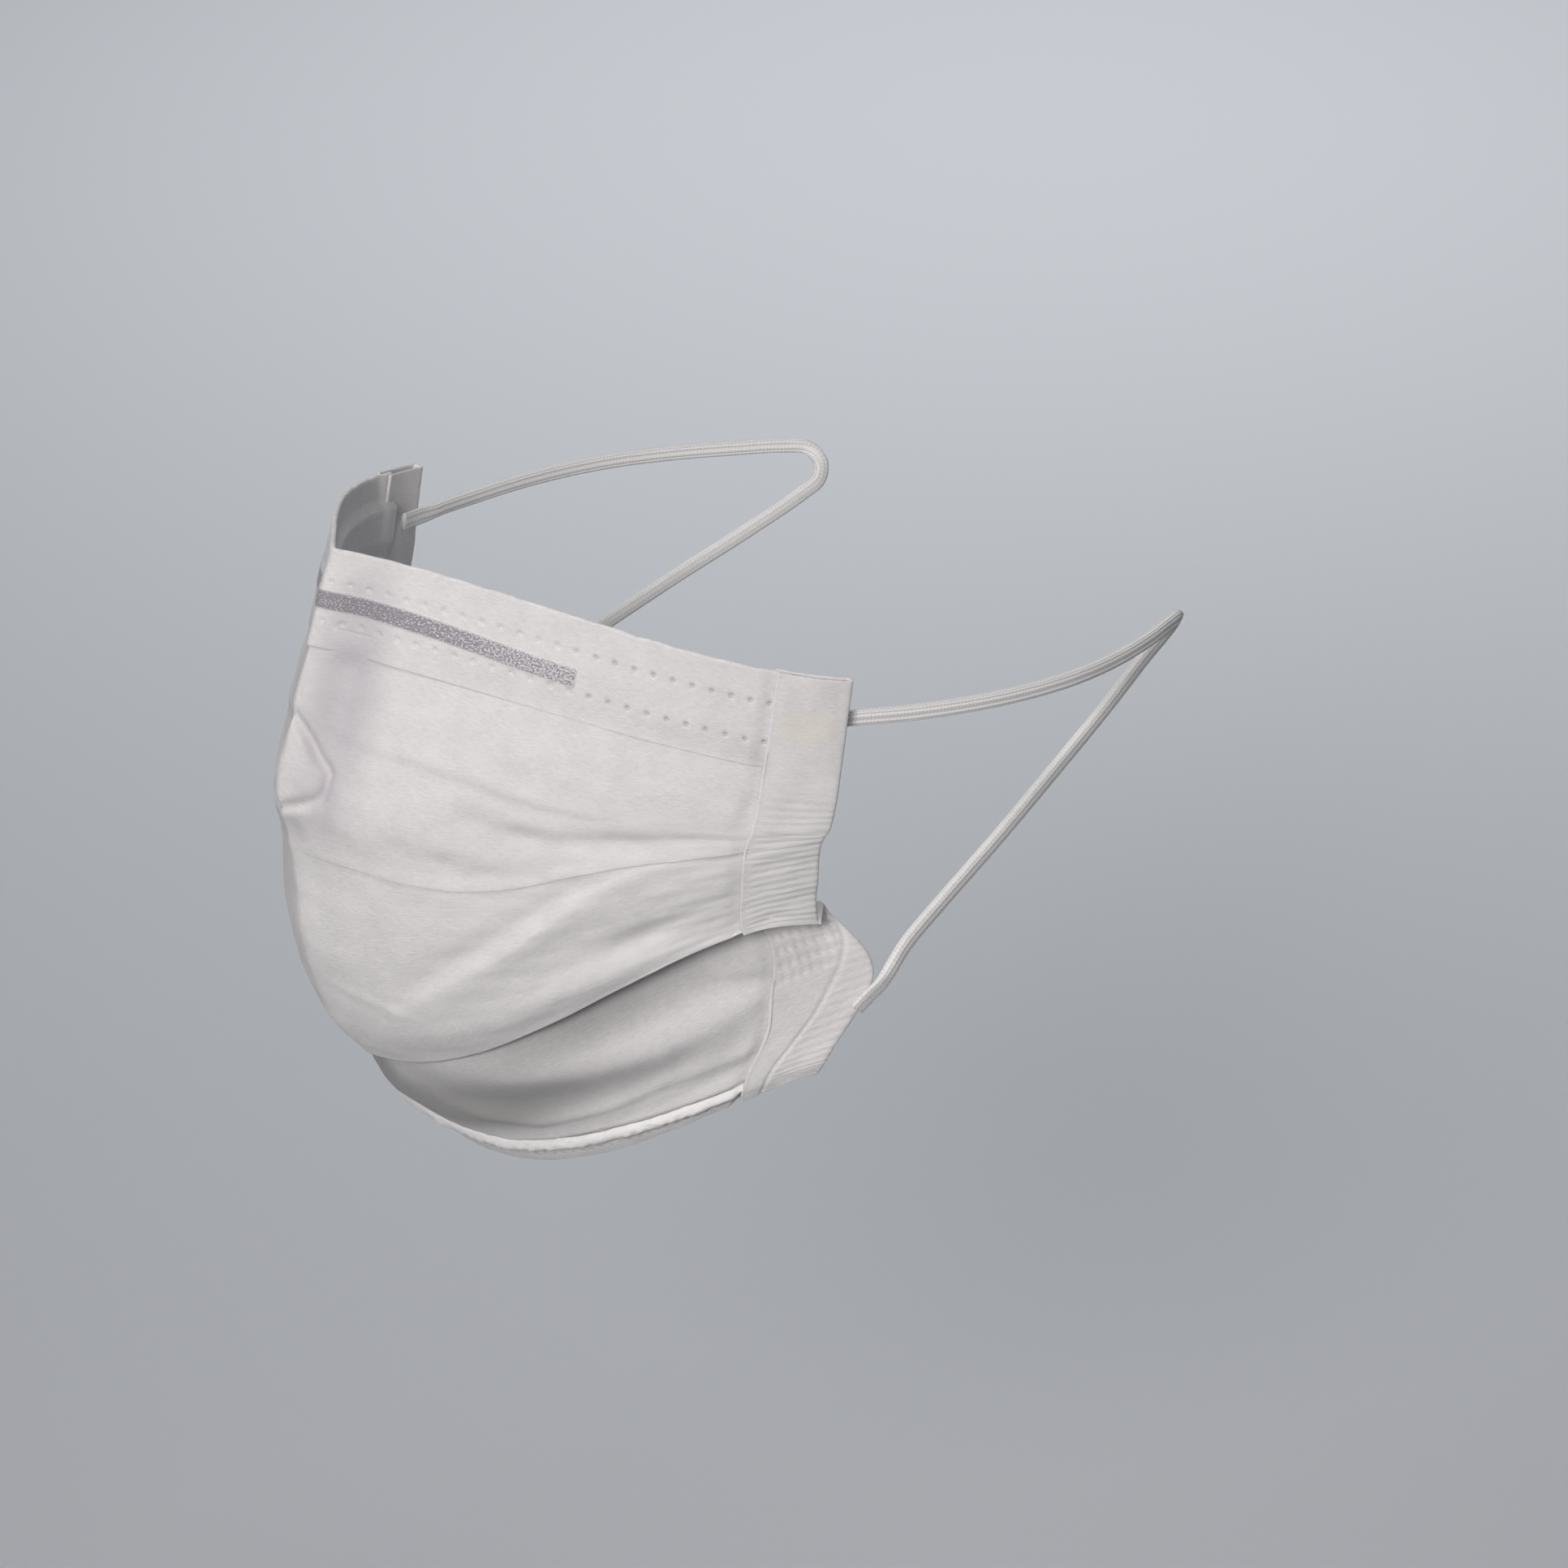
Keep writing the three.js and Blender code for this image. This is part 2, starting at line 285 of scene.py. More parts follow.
# Route of the wearer's left elastic, in metres: from its weld on the inside of the tape,
# round behind the ear, and down to its weld on the outside of the lower tape.
loopRoute = [
    (0.0511, 0.0489, -0.0241),
    (0.0522, 0.0511, -0.0244),
    (0.0532, 0.0533, -0.0246),
    (0.0542, 0.0557, -0.0248),
    (0.0553, 0.0590, -0.0250),
    (0.0572, 0.0660, -0.0256),
    (0.0592, 0.0760, -0.0262),
    (0.0601, 0.0860, -0.0267),
    (0.0596, 0.0970, -0.0272),
    (0.0572, 0.1080, -0.0277),
    (0.0536, 0.1180, -0.0281),
    (0.0504, 0.1250, -0.0283),
    (0.0479, 0.1294, -0.0289),
    (0.0456, 0.1306, -0.0309),
    (0.0443, 0.1293, -0.0335),
    (0.0447, 0.1258, -0.0356),
    (0.0472, 0.1155, -0.0409),
    (0.0503, 0.1025, -0.0470),
    (0.0534, 0.0880, -0.0540),
    (0.0558, 0.0745, -0.0606),
    (0.0573, 0.0665, -0.0647),
    (0.0581, 0.0630, -0.0674),
    (0.0579, 0.0612, -0.0700),
    (0.0572, 0.0594, -0.0722),
    (0.0566, 0.0577, -0.0742),
]
elasticFacts = {
    "length": 0.1757,
    "width": 0.0024,
    "thickness": 0.0015,
    "rings": 560,
    "sides": 44,
    "ribs": 11,             # wales of the knit, round the section
    "ribDepth": 0.00007,
    "stitchPitch": 0.00062,
    "stitchDepth": 0.00003,
    "weldLength": 0.0045,   # pressed flat at each end
    "weldThickness": 0.0009,
    "weldWidth": 0.0029,
    "dark": (0.62, 0.605, 0.59),
    "light": (0.84, 0.825, 0.81),
}


def routeLine(route, count):
    # centripetal Catmull-Rom curve through the route, at evenly spaced points
    p = np.array(route, float)
    p = np.vstack([2 * p[0] - p[1], p, 2 * p[-1] - p[-2]])
    fine = []
    for p0, p1, p2, p3 in zip(p[:-3], p[1:-2], p[2:-1], p[3:]):
        t0 = 0.0
        t1 = t0 + np.linalg.norm(p1 - p0) ** 0.5
        t2 = t1 + np.linalg.norm(p2 - p1) ** 0.5
        t3 = t2 + np.linalg.norm(p3 - p2) ** 0.5
        t = np.linspace(t1, t2, 60, endpoint=False)[:, None]
        a1 = (t1 - t) / (t1 - t0) * p0 + (t - t0) / (t1 - t0) * p1
        a2 = (t2 - t) / (t2 - t1) * p1 + (t - t1) / (t2 - t1) * p2
        a3 = (t3 - t) / (t3 - t2) * p2 + (t - t2) / (t3 - t2) * p3
        b1 = (t2 - t) / (t2 - t0) * a1 + (t - t0) / (t2 - t0) * a2
        b2 = (t3 - t) / (t3 - t1) * a2 + (t - t1) / (t3 - t1) * a3
        fine.append((t2 - t) / (t2 - t1) * b1 + (t - t1) / (t2 - t1) * b2)
    fine = np.vstack(fine + [p[-2][None]])
    length = np.concatenate([[0], np.cumsum(np.linalg.norm(np.diff(fine, axis=0), axis=1))])
    even = np.linspace(0, length[-1], count)
    return np.stack([np.interp(even, length, fine[:, k]) for k in range(3)], -1), even


def makeEarLoop(name, node, side, facts):
    # a flat knitted section carried along the route: |x/a|^3 + |y/b|^3 = 1, with ribs
    centre, along = routeLine(np.array(loopRoute) * (side, 1, 1), facts["rings"])
    total = along[-1]
    tangent = np.gradient(centre, axis=0)
    tangent /= np.linalg.norm(tangent, axis=1, keepdims=True)
    lean = np.array([side * 1.0, 0.12, 0.0])
    flat = lean - tangent * (tangent @ lean)[:, None]
    flat /= np.linalg.norm(flat, axis=1, keepdims=True)
    edge = np.cross(tangent, flat)

    fromEnd = np.minimum(along, total - along)
    weld = 1 - smoothStep(facts["weldLength"], facts["weldLength"] * 2, fromEnd)
    halfA = (facts["width"] * (1 - weld) + facts["weldWidth"] * weld) / 2
    halfB = (facts["thickness"] * (1 - weld) + facts["weldThickness"] * weld) / 2
    # the pressed ends lie against the tape: out at the upper end, in at the lower one
    press = (facts["thickness"] - facts["weldThickness"]) / 2 + 0.0004
    upper = 1 - smoothStep(0, facts["weldLength"] * 2, along)
    lower = 1 - smoothStep(0, facts["weldLength"] * 2, total - along)
    centre = centre + flat * ((upper - lower) * press)[:, None]

    angle = np.linspace(0, 2 * math.pi, facts["sides"], endpoint=False)[None, :]
    cosine, sine = np.cos(angle), np.sin(angle)
    power = 2 / 3.0
    across = np.sign(cosine) * np.abs(cosine) ** power
    through = np.sign(sine) * np.abs(sine) ** power
    ribs = np.cos(angle * facts["ribs"]) * facts["ribDepth"]
    stitches = np.sin(2 * math.pi * along[:, None] / facts["stitchPitch"] + angle * facts["ribs"])
    lift = ribs + stitches * facts["stitchDepth"]
    lift = lift * (1 - 0.6 * weld[:, None])
    scaleA = halfA[:, None] + lift
    scaleB = halfB[:, None] + lift
    ring = (
        centre[:, None, :]
        + edge[:, None, :] * (across * scaleA)[..., None]
        + flat[:, None, :] * (through * scaleB)[..., None]
    )
    # each end closes to a slightly sunken middle
    points = np.concatenate([centre[:1], ring.reshape(-1, 3), centre[-1:]])
    sides = facts["sides"]
    index = 1 + np.arange(facts["rings"] * sides).reshape(facts["rings"], sides)
    after = np.roll(index, -1, axis=1)
    quads = np.stack([index[:-1], index[1:], after[1:], after[:-1]], -1).reshape(-1, 4)
    first = np.stack([np.zeros(sides, int), index[0], after[0]], -1)
    final = np.full(sides, len(points) - 1)
    last = np.stack([final, after[-1], index[-1]], -1)
    mesh = bpy.data.meshes.new(name)
    mesh.from_pydata(points, [], quads.tolist() + first.tolist() + last.tolist())
    layer = mesh.uv_layers.new(name="cloth")
    roundShare = np.tile(np.arange(sides) / sides, (facts["rings"], 1))
    lengthShare = np.tile((along / total)[:, None], (1, sides))
    uv = np.concatenate([
        [[0.5, 0.0]],
        np.stack([roundShare, lengthShare], -1).reshape(-1, 2),
        [[0.5, 1.0]],
    ])
    corner = np.empty(len(mesh.loops), np.int32)
    mesh.loops.foreach_get("vertex_index", corner)
    layer.data.foreach_set("uv", uv[corner].ravel().astype(np.float32))
    mesh.shade_smooth()
    piece = bpy.data.objects.new(name, mesh)
    bpy.context.scene.collection.objects.link(piece)
    standFor(piece, node)
    return piece


loopLeft = makeEarLoop("knit_loop_left", "ear_loop_left", 1, elasticFacts)
loopRight = makeEarLoop("knit_loop_right", "ear_loop_right", -1, elasticFacts)
print("ear loops made")


bodyFacts = {
    "wall": 0.14,           # of each layer where the cloth is folded, mm
    "sideEnd": 76.0,        # how far the cloth reaches along itself, under the side tape
    "topStart": 13.0,       # under the top hem
    "bottomEnd": 124.2,     # under the bottom hem
    "pleatDepth": 2.3,      # cloth folded back behind the third pleat edge
    "pleatHeight": 0.3,    # the cloth, twice folded
    "pocketRise": 6.5,      # how far the cloth runs up behind the flap
    "fineStep": 0.46,       # spacing near the ridge
    "coarseStep": 0.82,
    "rowStep": 0.62,
}
# The lower part of a side tape lies askew. Rows: mm down, where its inner edge runs, where
# the groove along its middle runs, both in mm along the cloth.
tapeTable = [
    (-10.0, 73.1, 86.0), (99.0, 73.1, 86.0), (103.0, 73.6, 85.4), (106.0, 71.6, 83.6),
    (108.5, 68.8, 81.0), (111.0, 67.4, 77.8), (115.0, 67.6, 75.2), (119.0, 68.6, 73.8),
    (136.0, 69.4, 73.2),
]


def tapeEdge(v):
    return softTable(v, [row[:2] for row in tapeTable], 3.0)


def tapeLine(v):
    return softTable(v, [(row[0], row[2]) for row in tapeTable], 3.0)


# Where the third pleat edge runs: mm along the cloth from the ridge, mm down.
pleatLine = [(0, 51.8), (10, 51.6), (20, 52.8), (29, 53.5), (37, 52.9), (46, 50.4), (56, 47.6),
             (71, 46.6), (90, 46.6)]

# Folds and hollows of the worn cloth. points: (along, down) in mm; height: out of the cloth,
# negative for a hollow; above, below: width on each side, in mm.
foldTable = {
    "cheekCrease": {"points": [(8, 30.3), (20, 30.4), (30, 31), (40, 32.4), (50, 33)],
                    "height": 0.42, "above": 2.4, "below": 1.0},
    "cheekHollow": {"points": [(30, 39.5), (44, 41), (56, 39.5), (71, 37)],
                    "height": -0.75, "above": 2.6, "below": 4.0},
    "overPleat": {"points": [(2, 48.5), (14, 49), (28, 50), (37, 49.4), (48, 46), (60, 43)],
                  "height": -0.38, "above": 3.4, "below": 2.2},
    "mouthPull": {"points": [(14, 81.5), (24.5, 75.5), (35, 69.8), (41, 64.5), (48.5, 57), (58, 50)],
                  "height": 0.85, "above": 1.6, "below": 5.0},
    "mouthHollow": {"points": [(18, 75.5), (24, 71.5), (33, 66), (40, 60), (46, 54)],
                    "height": -0.45, "above": 3.0, "below": 1.8},
    "chinFine": {"points": [(4, 76), (12, 79), (18, 82)],
                 "height": 0.2, "above": 0.8, "below": 1.4},
    "noseCreaseTop": {"points": [(0.6, 29.6), (3.5, 32.4), (5.2, 34.4), (7.9, 36.6)],
                      "height": -1.7, "above": 0.95, "below": 0.55},
    "noseCreaseSide": {"points": [(7.6, 36), (8.0, 38), (7.4, 40.8)],
                       "height": -1.0, "above": 0.8, "below": 0.7},
    "noseCreaseLow": {"points": [(7.2, 40.6), (4, 42.7), (0.2, 44.6)],
                      "height": -1.2, "above": 0.6, "below": 1.0},
    "tapePucker": {"points": [(74.5, 21), (72.4, 26), (71.6, 32.5)],
                   "height": -0.5, "above": 1.4, "below": 1.4},
    "underRidge": {"points": [(0, 101.6), (14.5, 103), (26, 105.3), (37.5, 107.6), (49, 108.6),
                              (60, 108.6), (69, 107.6)],
                   "height": 1.5, "above": 3.4, "below": 2.0},
    "underHollow": {"points": [(0, 105.5), (9, 107), (24.5, 110), (38, 112), (52, 112)],
                    "height": -0.8, "above": 2.2, "below": 2.4},
    "underCrease": {"points": [(8, 108.5), (17, 112), (27, 114.6), (40, 114.6), (50, 113.8),
                               (66, 114.3), (75, 112.6)],
                    "height": 0.5, "above": 1.2, "below": 0.8},
    "sideFold": {"points": [(60, 105), (68, 106.8), (74, 108)],
                 "height": -0.9, "above": 0.9, "below": 1.4},
    "underDrape": {"points": [(40, 118), (56, 117), (72, 115.5)],
                   "height": -0.35, "above": 1.6, "below": 1.6},
}
# Round dents and swells: (along, down, height, radius along, radius down)
dentTable = {
    "nosePuff": (3.4, 37.6, 0.5, 2.2, 3.6),
    "noseShade": (1.6, 47.5, -0.5, 2.4, 3.0),
    "dentOne": (31.5, 38.0, -0.4, 2.6, 2.2),
    "dentTwo": (38.5, 40.2, -0.45, 2.8, 2.2),
    "dentThree": (19.5, 46.3, -0.35, 3.2, 2.2),
    "dentFour": (27.0, 47.2, -0.35, 3.0, 2.0),
    "jawDent": (57.0, 76.0, -0.8, 5.5, 4.5),
    "cheekSwell": (34.0, 25.0, 0.6, 16.0, 7.0),
    "chinSwell": (26.0, 88.0, 0.6, 14.0, 6.0),
    "jawSwell": (48.0, 86.0, 0.7, 12.0, 5.0),
}


def foldField(u, v):
    # sum of height * exp(-(d/w)^2) over the folds, faded at their ends, and over the dents
    wide = np.where(u < 0, -u * 1.04 + 0.4, u)
    total = np.zeros(u.shape)
    for fold in foldTable.values():
        distance, share = nearLine(wide, v, fold["points"])
        width = np.where(distance > 0, fold["above"], fold["below"])
        ends = 0.25 + 0.75 * np.sin(math.pi * np.clip(share, 0.04, 0.96)) ** 0.6
        total += fold["height"] * ends * bell(distance, width)
    for along, down, height, radiusU, radiusV in dentTable.values():
        total += height * np.exp(-((wide - along) / radiusU) ** 2 - ((v - down) / radiusV) ** 2)
    return total


def clothWander(u, v):
    # slow swells along the cloth and short soft crumples, faded where the wire holds it
    loose = smoothStep(18, 40, v)
    slow = ripple(u, v, 3, 46.0, 15.0) * 0.22
    short = ripple(u, v, 8, 13.0, 7.0) * 0.07
    fine = ripple(u, v, 21, 4.2, 2.4) * 0.016
    return (slow + short) * loose + fine


def noseValley(u, v):
    # hollow beside the nose
    band = smoothStep(2, 12, v) * (1 - smoothStep(30, 42, v))
    return -1.35 * bell(np.abs(u) - 7.2, 3.3) * band


def columnStops(facts):
    near = np.arange(0, 12, facts["fineStep"])
    count = int(round((facts["sideEnd"] - near[-1]) / facts["coarseStep"]))
    far = np.linspace(near[-1], facts["sideEnd"], count + 1)[1:]
    half = np.concatenate([near, far])
    return np.concatenate([-half[:0:-1], half])


def pleatEdge(u):
    return softTable(np.abs(u), pleatLine, 9.0)


def bodyRows(facts):
    # rows of the body: (part, share or mm, inset). Parts: above the pleat edge, the fold
    # itself in mm from its edge, below it, round the flap's edge, the ledge, the lower panel.
    rows = []
    height = facts["pleatHeight"]
    depth = facts["pleatDepth"]
    count = int(round(39 / facts["rowStep"]))
    rows += [("above", s, 0.0) for s in np.linspace(0, 1, count)]
    radius = height * 0.45
    for angle in np.linspace(0, math.pi, 8)[1:]:
        rows.append(("fold", radius * math.sin(angle), radius * (1 - math.cos(angle))))
    for share in (0.35, 0.7, 1.0):
        rows.append(("fold", -depth * share, 2 * radius))
    for angle in np.linspace(0, math.pi, 4)[1:]:
        back = 2 * radius + 0.025 * (1 - math.cos(angle))
        rows.append(("fold", -depth - 0.12 * math.sin(angle), back))
    for share in (0.7, 0.35, 0.1):
        rows.append(("fold", -depth * share, height))
    count = int(round(42 / facts["rowStep"]))
    rows += [("below", s, height) for s in np.linspace(0, 1, count)]
    rows += [("edge", s, t) for s, t in ((94.75, 0.0), (94.95, 0.06))]
    rows += [("ledge", s, t) for s, t in ((95.0, 0.1), (95.12, 0.03), (95.4, 0.0), (96, 0), (96.8, 0),
                                          (97.6, 0), (98.4, 0), (99.2, 0))]
    rows += [("under", s, 0.0) for s in np.arange(100, facts["bottomEnd"], facts["rowStep"] * 0.93)]
    return rows


def makeBody(facts):
    # rows of (down, inset) carried across the cloth, with folds, dents and swells added
    u = columnStops(facts)
    wide = np.abs(u)
    edge = pleatEdge(u)
    fadePleat = 1 - 0.35 * smoothStep(58, 74, wide)
    blocks = []
    uvs = []
    rows = bodyRows(facts)
    below = edge + 0.15
    runParts = (
        (front, ("above", "fold", "below", "edge")),
        (ledge, ("ledge",)),
        (under, ("under",)),
    )
    for run, parts in runParts:
        mine = [row for row in rows if row[0] in parts]
        v = np.empty((len(mine), len(u)))
        inset = np.empty_like(v)
        for i, (part, value, depth) in enumerate(mine):
            if part == "above":
                v[i] = facts["topStart"] + (edge - 0.02 - facts["topStart"]) * value
                inset[i] = 0
            elif part == "fold":
                v[i] = edge + value
                inset[i] = depth * fadePleat
            elif part == "below":
                v[i] = below + (94.4 - below) * value
                inset[i] = depth * fadePleat * (1 - smoothStep(0, 15, v[i] - below)) ** 1.5
            else:
                v[i] = value
                inset[i] = depth
        grid = np.broadcast_to(u, v.shape)
        # stepped down under the hems
        side = np.abs(grid)
        underTop = topHemFacts["drop"]
        inset = inset + underTop * (1 - smoothStep(17.6, 29, v)) ** 1.4
        bottomTop = bottomHemTop(grid)
        inset = inset + 0.55 * smoothStep(bottomTop - 0.5, bottomTop + 0.15, v)
        relief = foldField(grid, v) + clothWander(grid, v) + noseValley(grid, v)
        tape = tapeEdge(v)
        tuck = 0.4 * smoothStep(tape - 2.6, tape + 0.3, side)
        quiet = 1 - smoothStep(tape - 3, tape + 0.8, side)
        inset = inset - relief * (0.15 + 0.85 * quiet) * smoothStep(14.5, 20, v) + tuck
        # nothing stands out of the tape where the cloth runs under it
        inset = np.where(side > tape - 0.1, np.maximum(inset, 0.3), inset)
        inset = np.minimum(inset, 3.0)
        points = clothPoint(grid, v, inset, run)
        # cloth behind the flap runs up, along the flap, before it comes down again
        upFlap = sheetPoint(u, 88.0, front) - sheetPoint(u, 95.0, front)
        upFlap /= np.linalg.norm(upFlap, axis=-1, keepdims=True)
        rise = facts["pocketRise"] * (1 - smoothStep(46, 70, np.abs(u)))
        hump = smoothStep(95.0, 98.6, v) * (1 - smoothStep(99.6, 105.5, v))
        if run != front:
            points = points + upFlap[None] * (rise * hump)[..., None]
        blocks.append(points)
        uvs.append(clothUv(grid, v))
    piece = gridMesh("body_cloth_sheet", np.vstack(blocks), np.vstack(uvs))
    thicken(piece, facts["wall"])
    standFor(piece, "mask_body")
    return piece


topHemFacts = {
    "wall": 0.12,
    "sideEnd": 76.0,
    "step": 0.3,            # spacing of the grid's columns
    "bottom": 17.0,         # the first pleat edge
    "edgeRadius": 0.42,     # of the turn over the top edge
    "foldRadius": 0.26,     # of the turn along the pleat edge
    "drop": 0.5,            # how far the body cloth starts below the hem's outer face
    "sidePress": 0.33,      # how far that edge is pressed flat towards the sides
    "dotRows": (5.6, 12.3),
    "dotPitch": 3.1,
    "dotRadius": 0.5,
    "dotDepth": 0.3,
    "wireTop": 7.2,         # near the ridge; it drops by wireDrop at its end
    "wireWidth": 3.0,
    "wireDrop": 1.3,
    "wireEnd": 42.5,
    "wireHeight": 0.16,
}
bottomHemFacts = {
    "wall": 0.3,
    "sideEnd": 75.5,
    "step": 0.34,
    "top": 119.5,
    "roll": 2.5,            # height of the raised strip along its upper edge
    "rollHeight": 0.85,
    "dotRow": 123.6,
    "dotPitch": 2.1,
    "dotRadius": 0.42,
    "dotDepth": 0.2,
}


def bottomHemTop(u):
    return bottomHemFacts["top"] - 2.6 * (1 - smoothStep(3, 22, np.abs(u)))


def weldDots(u, v, row, pitch, radius):
    # 1 in round dots pitch apart along a row, fading to 0 at radius
    du = (u / pitch - np.floor(u / pitch) - 0.5) * pitch
    return 1 - smoothStep(radius * 0.35, radius * 1.25, np.hypot(du, v - row))


def wireBand(u, v, facts):
    # 1 over the wire, with soft edges
    wide = np.abs(u)
    top = facts["wireTop"] + facts["wireDrop"] * smoothStep(10, facts["wireEnd"], wide)
    edge = 0.35
    bottom = top + facts["wireWidth"]
    across = smoothStep(top - edge, top + edge, v)
    across = across * (1 - smoothStep(bottom - edge, bottom + edge, v))
    return across * (1 - smoothStep(facts["wireEnd"] - edge, facts["wireEnd"] + edge, wide))


def makeTopHem(facts):
    # a folded strip: inner leaf up, over the top edge, outer leaf down, turned under
    u = np.arange(-facts["sideEnd"], facts["sideEnd"] + 0.01, facts["step"])
    bottom = facts["bottom"]
    fold = facts["foldRadius"]
    section = [(s, 1.75, 0, -s) for s in np.arange(16.0, 13.4, -0.8)]
    section += [(s, 2.4, 0, -s) for s in (12.4, 11.6, 10.4, 9.2, 8, 6.8, 5.8)]
    section += [(s, 0.85 + (s - 1) * 0.12, 0, -s) for s in (4.8, 4.0, 3.2, 2.4, 1.6, 1.0)]
    over = facts["edgeRadius"]
    for angle in np.linspace(0.15, 0.95, 7) * math.pi:
        section.append((over - over * math.sin(angle), over + over * math.cos(angle), 1,
                        -0.3 + angle / 6))
    section += [(s, 0.0, 1, s) for s in np.arange(0.7, bottom - 0.5, 0.3)]
    for angle in np.linspace(0.05, 0.5, 6) * math.pi:
        section.append((bottom + fold * (math.sin(angle) - 1), fold * (1 - math.cos(angle)), 1,
                        bottom - 0.4 + angle / 6))
    down, inset, outer, along = np.array(section).T
    v = np.broadcast_to(down[:, None], (len(down), len(u))).copy()
    grid = np.broadcast_to(u, v.shape)
    depth = np.broadcast_to(inset[:, None], v.shape).copy()
    shows = outer[:, None]
    relief = wireBand(grid, v, facts) * facts["wireHeight"]
    for row in facts["dotRows"]:
        dots = weldDots(grid, v, row, facts["dotPitch"], facts["dotRadius"])
        relief = relief - dots * facts["dotDepth"]
        puff = weldDots(grid + facts["dotPitch"] / 2, v, row - 0.9, facts["dotPitch"], 1.4)
        relief = relief + puff * 0.035
    relief = relief + noseValley(grid, v)
    relief = relief + ripple(grid, v, 33, 17.0, 11.0) * 0.06
    depth = depth - relief * shows - (noseValley(grid, v)) * (1 - shows)
    # pressed in towards the cheeks, and tucked under the tape
    side = np.abs(grid)
    flat = smoothStep(12, 42, side)
    press = (0.06 + (facts["sidePress"] - 0.06) * flat) * smoothStep(bottom - 5, bottom - 0.3, v)
    turned = np.where(down > bottom - 0.6, inset, 0)[:, None]
    depth = depth + (press - 0.8 * flat * turned) * shows
    depth = depth + 0.42 * smoothStep(70.5, 73.4, side)
    # the top edge waves a little between the dots
    wave = np.sin(2 * math.pi * grid / 6.2 + 0.8) * 0.07 + ripple(grid, v * 0, 35, 9.0, 9.0) * 0.1
    v = v + wave * (1 - smoothStep(0, 4, v))
    v = np.maximum(v, 0.0)
    points = clothPoint(grid, v, depth, front)
    piece = gridMesh("top_hem_strip", points, clothUv(grid, np.broadcast_to(along[:, None], v.shape)))
    thicken(piece, facts["wall"])
    standFor(piece, "top_hem")
    return piece


def makeBottomHem(facts):
    # a folded strip: outer leaf down from its raised edge, round the bottom, inner leaf up
    u = np.arange(-facts["sideEnd"], facts["sideEnd"] + 0.01, facts["step"])
    end = downs[-1]
    start = facts["top"]
    section = [(start + 0.9, 0.45, 0, start - 0.8), (start + 0.2, 0.42, 0, start - 0.4)]
    section += [(start - 0.05, 0.25, 1, start - 0.1), (start, 0.05, 1, start)]
    section += [(s, 0.0, 1, s) for s in np.arange(start + 0.25, end - 0.5, 0.3)]
    for angle in np.linspace(0.1, 0.95, 8) * math.pi:
        section.append((end - 0.5 + 0.5 * math.sin(angle), 0.55 - 0.55 * math.cos(angle), 1,
                        end - 0.5 + angle / 6))
    section += [(s, 1.15, 0, 2 * end - s) for s in np.arange(end - 0.9, start, -0.8)]
    down, inset, outer, flat = np.array(section).T
    grid = np.broadcast_to(u, (len(down), len(u)))
    rise = (bottomHemTop(u) - start)[None, :]
    share = ((end - down) / (end - start))[:, None]
    v = down[:, None] + rise * share
    depth = np.broadcast_to(inset[:, None], v.shape).copy()
    shows = outer[:, None]
    across = down[:, None] - start
    roll = np.sin(math.pi * np.clip(across / facts["roll"], 0, 1)) ** 0.7 * facts["rollHeight"]
    fuzz = ripple(grid, v, 41, 2.6, 1.6) * 0.13 * bell(across - 1.2, 1.3)
    fuzz = fuzz + ripple(grid, v, 43, 7.0, 4.0) * 0.14 * bell(across - 1.2, 1.6)
    groove = -0.2 * bell(across - facts["roll"] - 0.4, 0.6)
    dots = weldDots(grid, down[:, None], facts["dotRow"], facts["dotPitch"], facts["dotRadius"])
    depth = depth - (roll + fuzz + groove - dots * facts["dotDepth"]) * shows
    tape = tapeEdge(v)
    depth = depth + 0.9 * smoothStep(tape - 2.4, tape + 0.3, np.abs(grid))
    v = v + ripple(grid, v * 0, 45, 6.0, 6.0) * 0.12 * (1 - smoothStep(0, 1.5, across))
    v = v - ripple(grid, v * 0, 47, 12.0, 9.0) * 0.16 * smoothStep(3.5, 6.5, across)
    points = clothPoint(grid, np.minimum(v, end), depth, under)
    piece = gridMesh("bottom_hem_strip", points, clothUv(grid, np.broadcast_to(flat[:, None], v.shape)))
    thicken(piece, facts["wall"])
    standFor(piece, "bottom_hem")
    return piece


bodyPiece = makeBody(bodyFacts)
topHem = makeTopHem(topHemFacts)
bottomHem = makeBottomHem(bottomHemFacts)
print("cloth sheets made")


tapeFacts = {
    "wall": 0.3,
    "width": 13.0,
    "proud": 0.14,          # how far its outer leaf stands out of the cloth
    "inner": 2.0,           # where its inner leaf runs, below the outer face of the cloth
    "step": 0.3,
    "ribPitch": 1.15,       # along the side edge itself
    "ribHeight": 0.035,
    "ribFrom": 19.0,
    "ribTo": 92.0,
    "embossPitch": 1.6,
}


# how far along the side edge each course's end lies
sideEnds = np.array([row[6:9] for row in courseTable.values()], float)
sideRun = np.concatenate([[0], np.cumsum(np.linalg.norm(np.diff(sideEnds, axis=0), axis=1))])


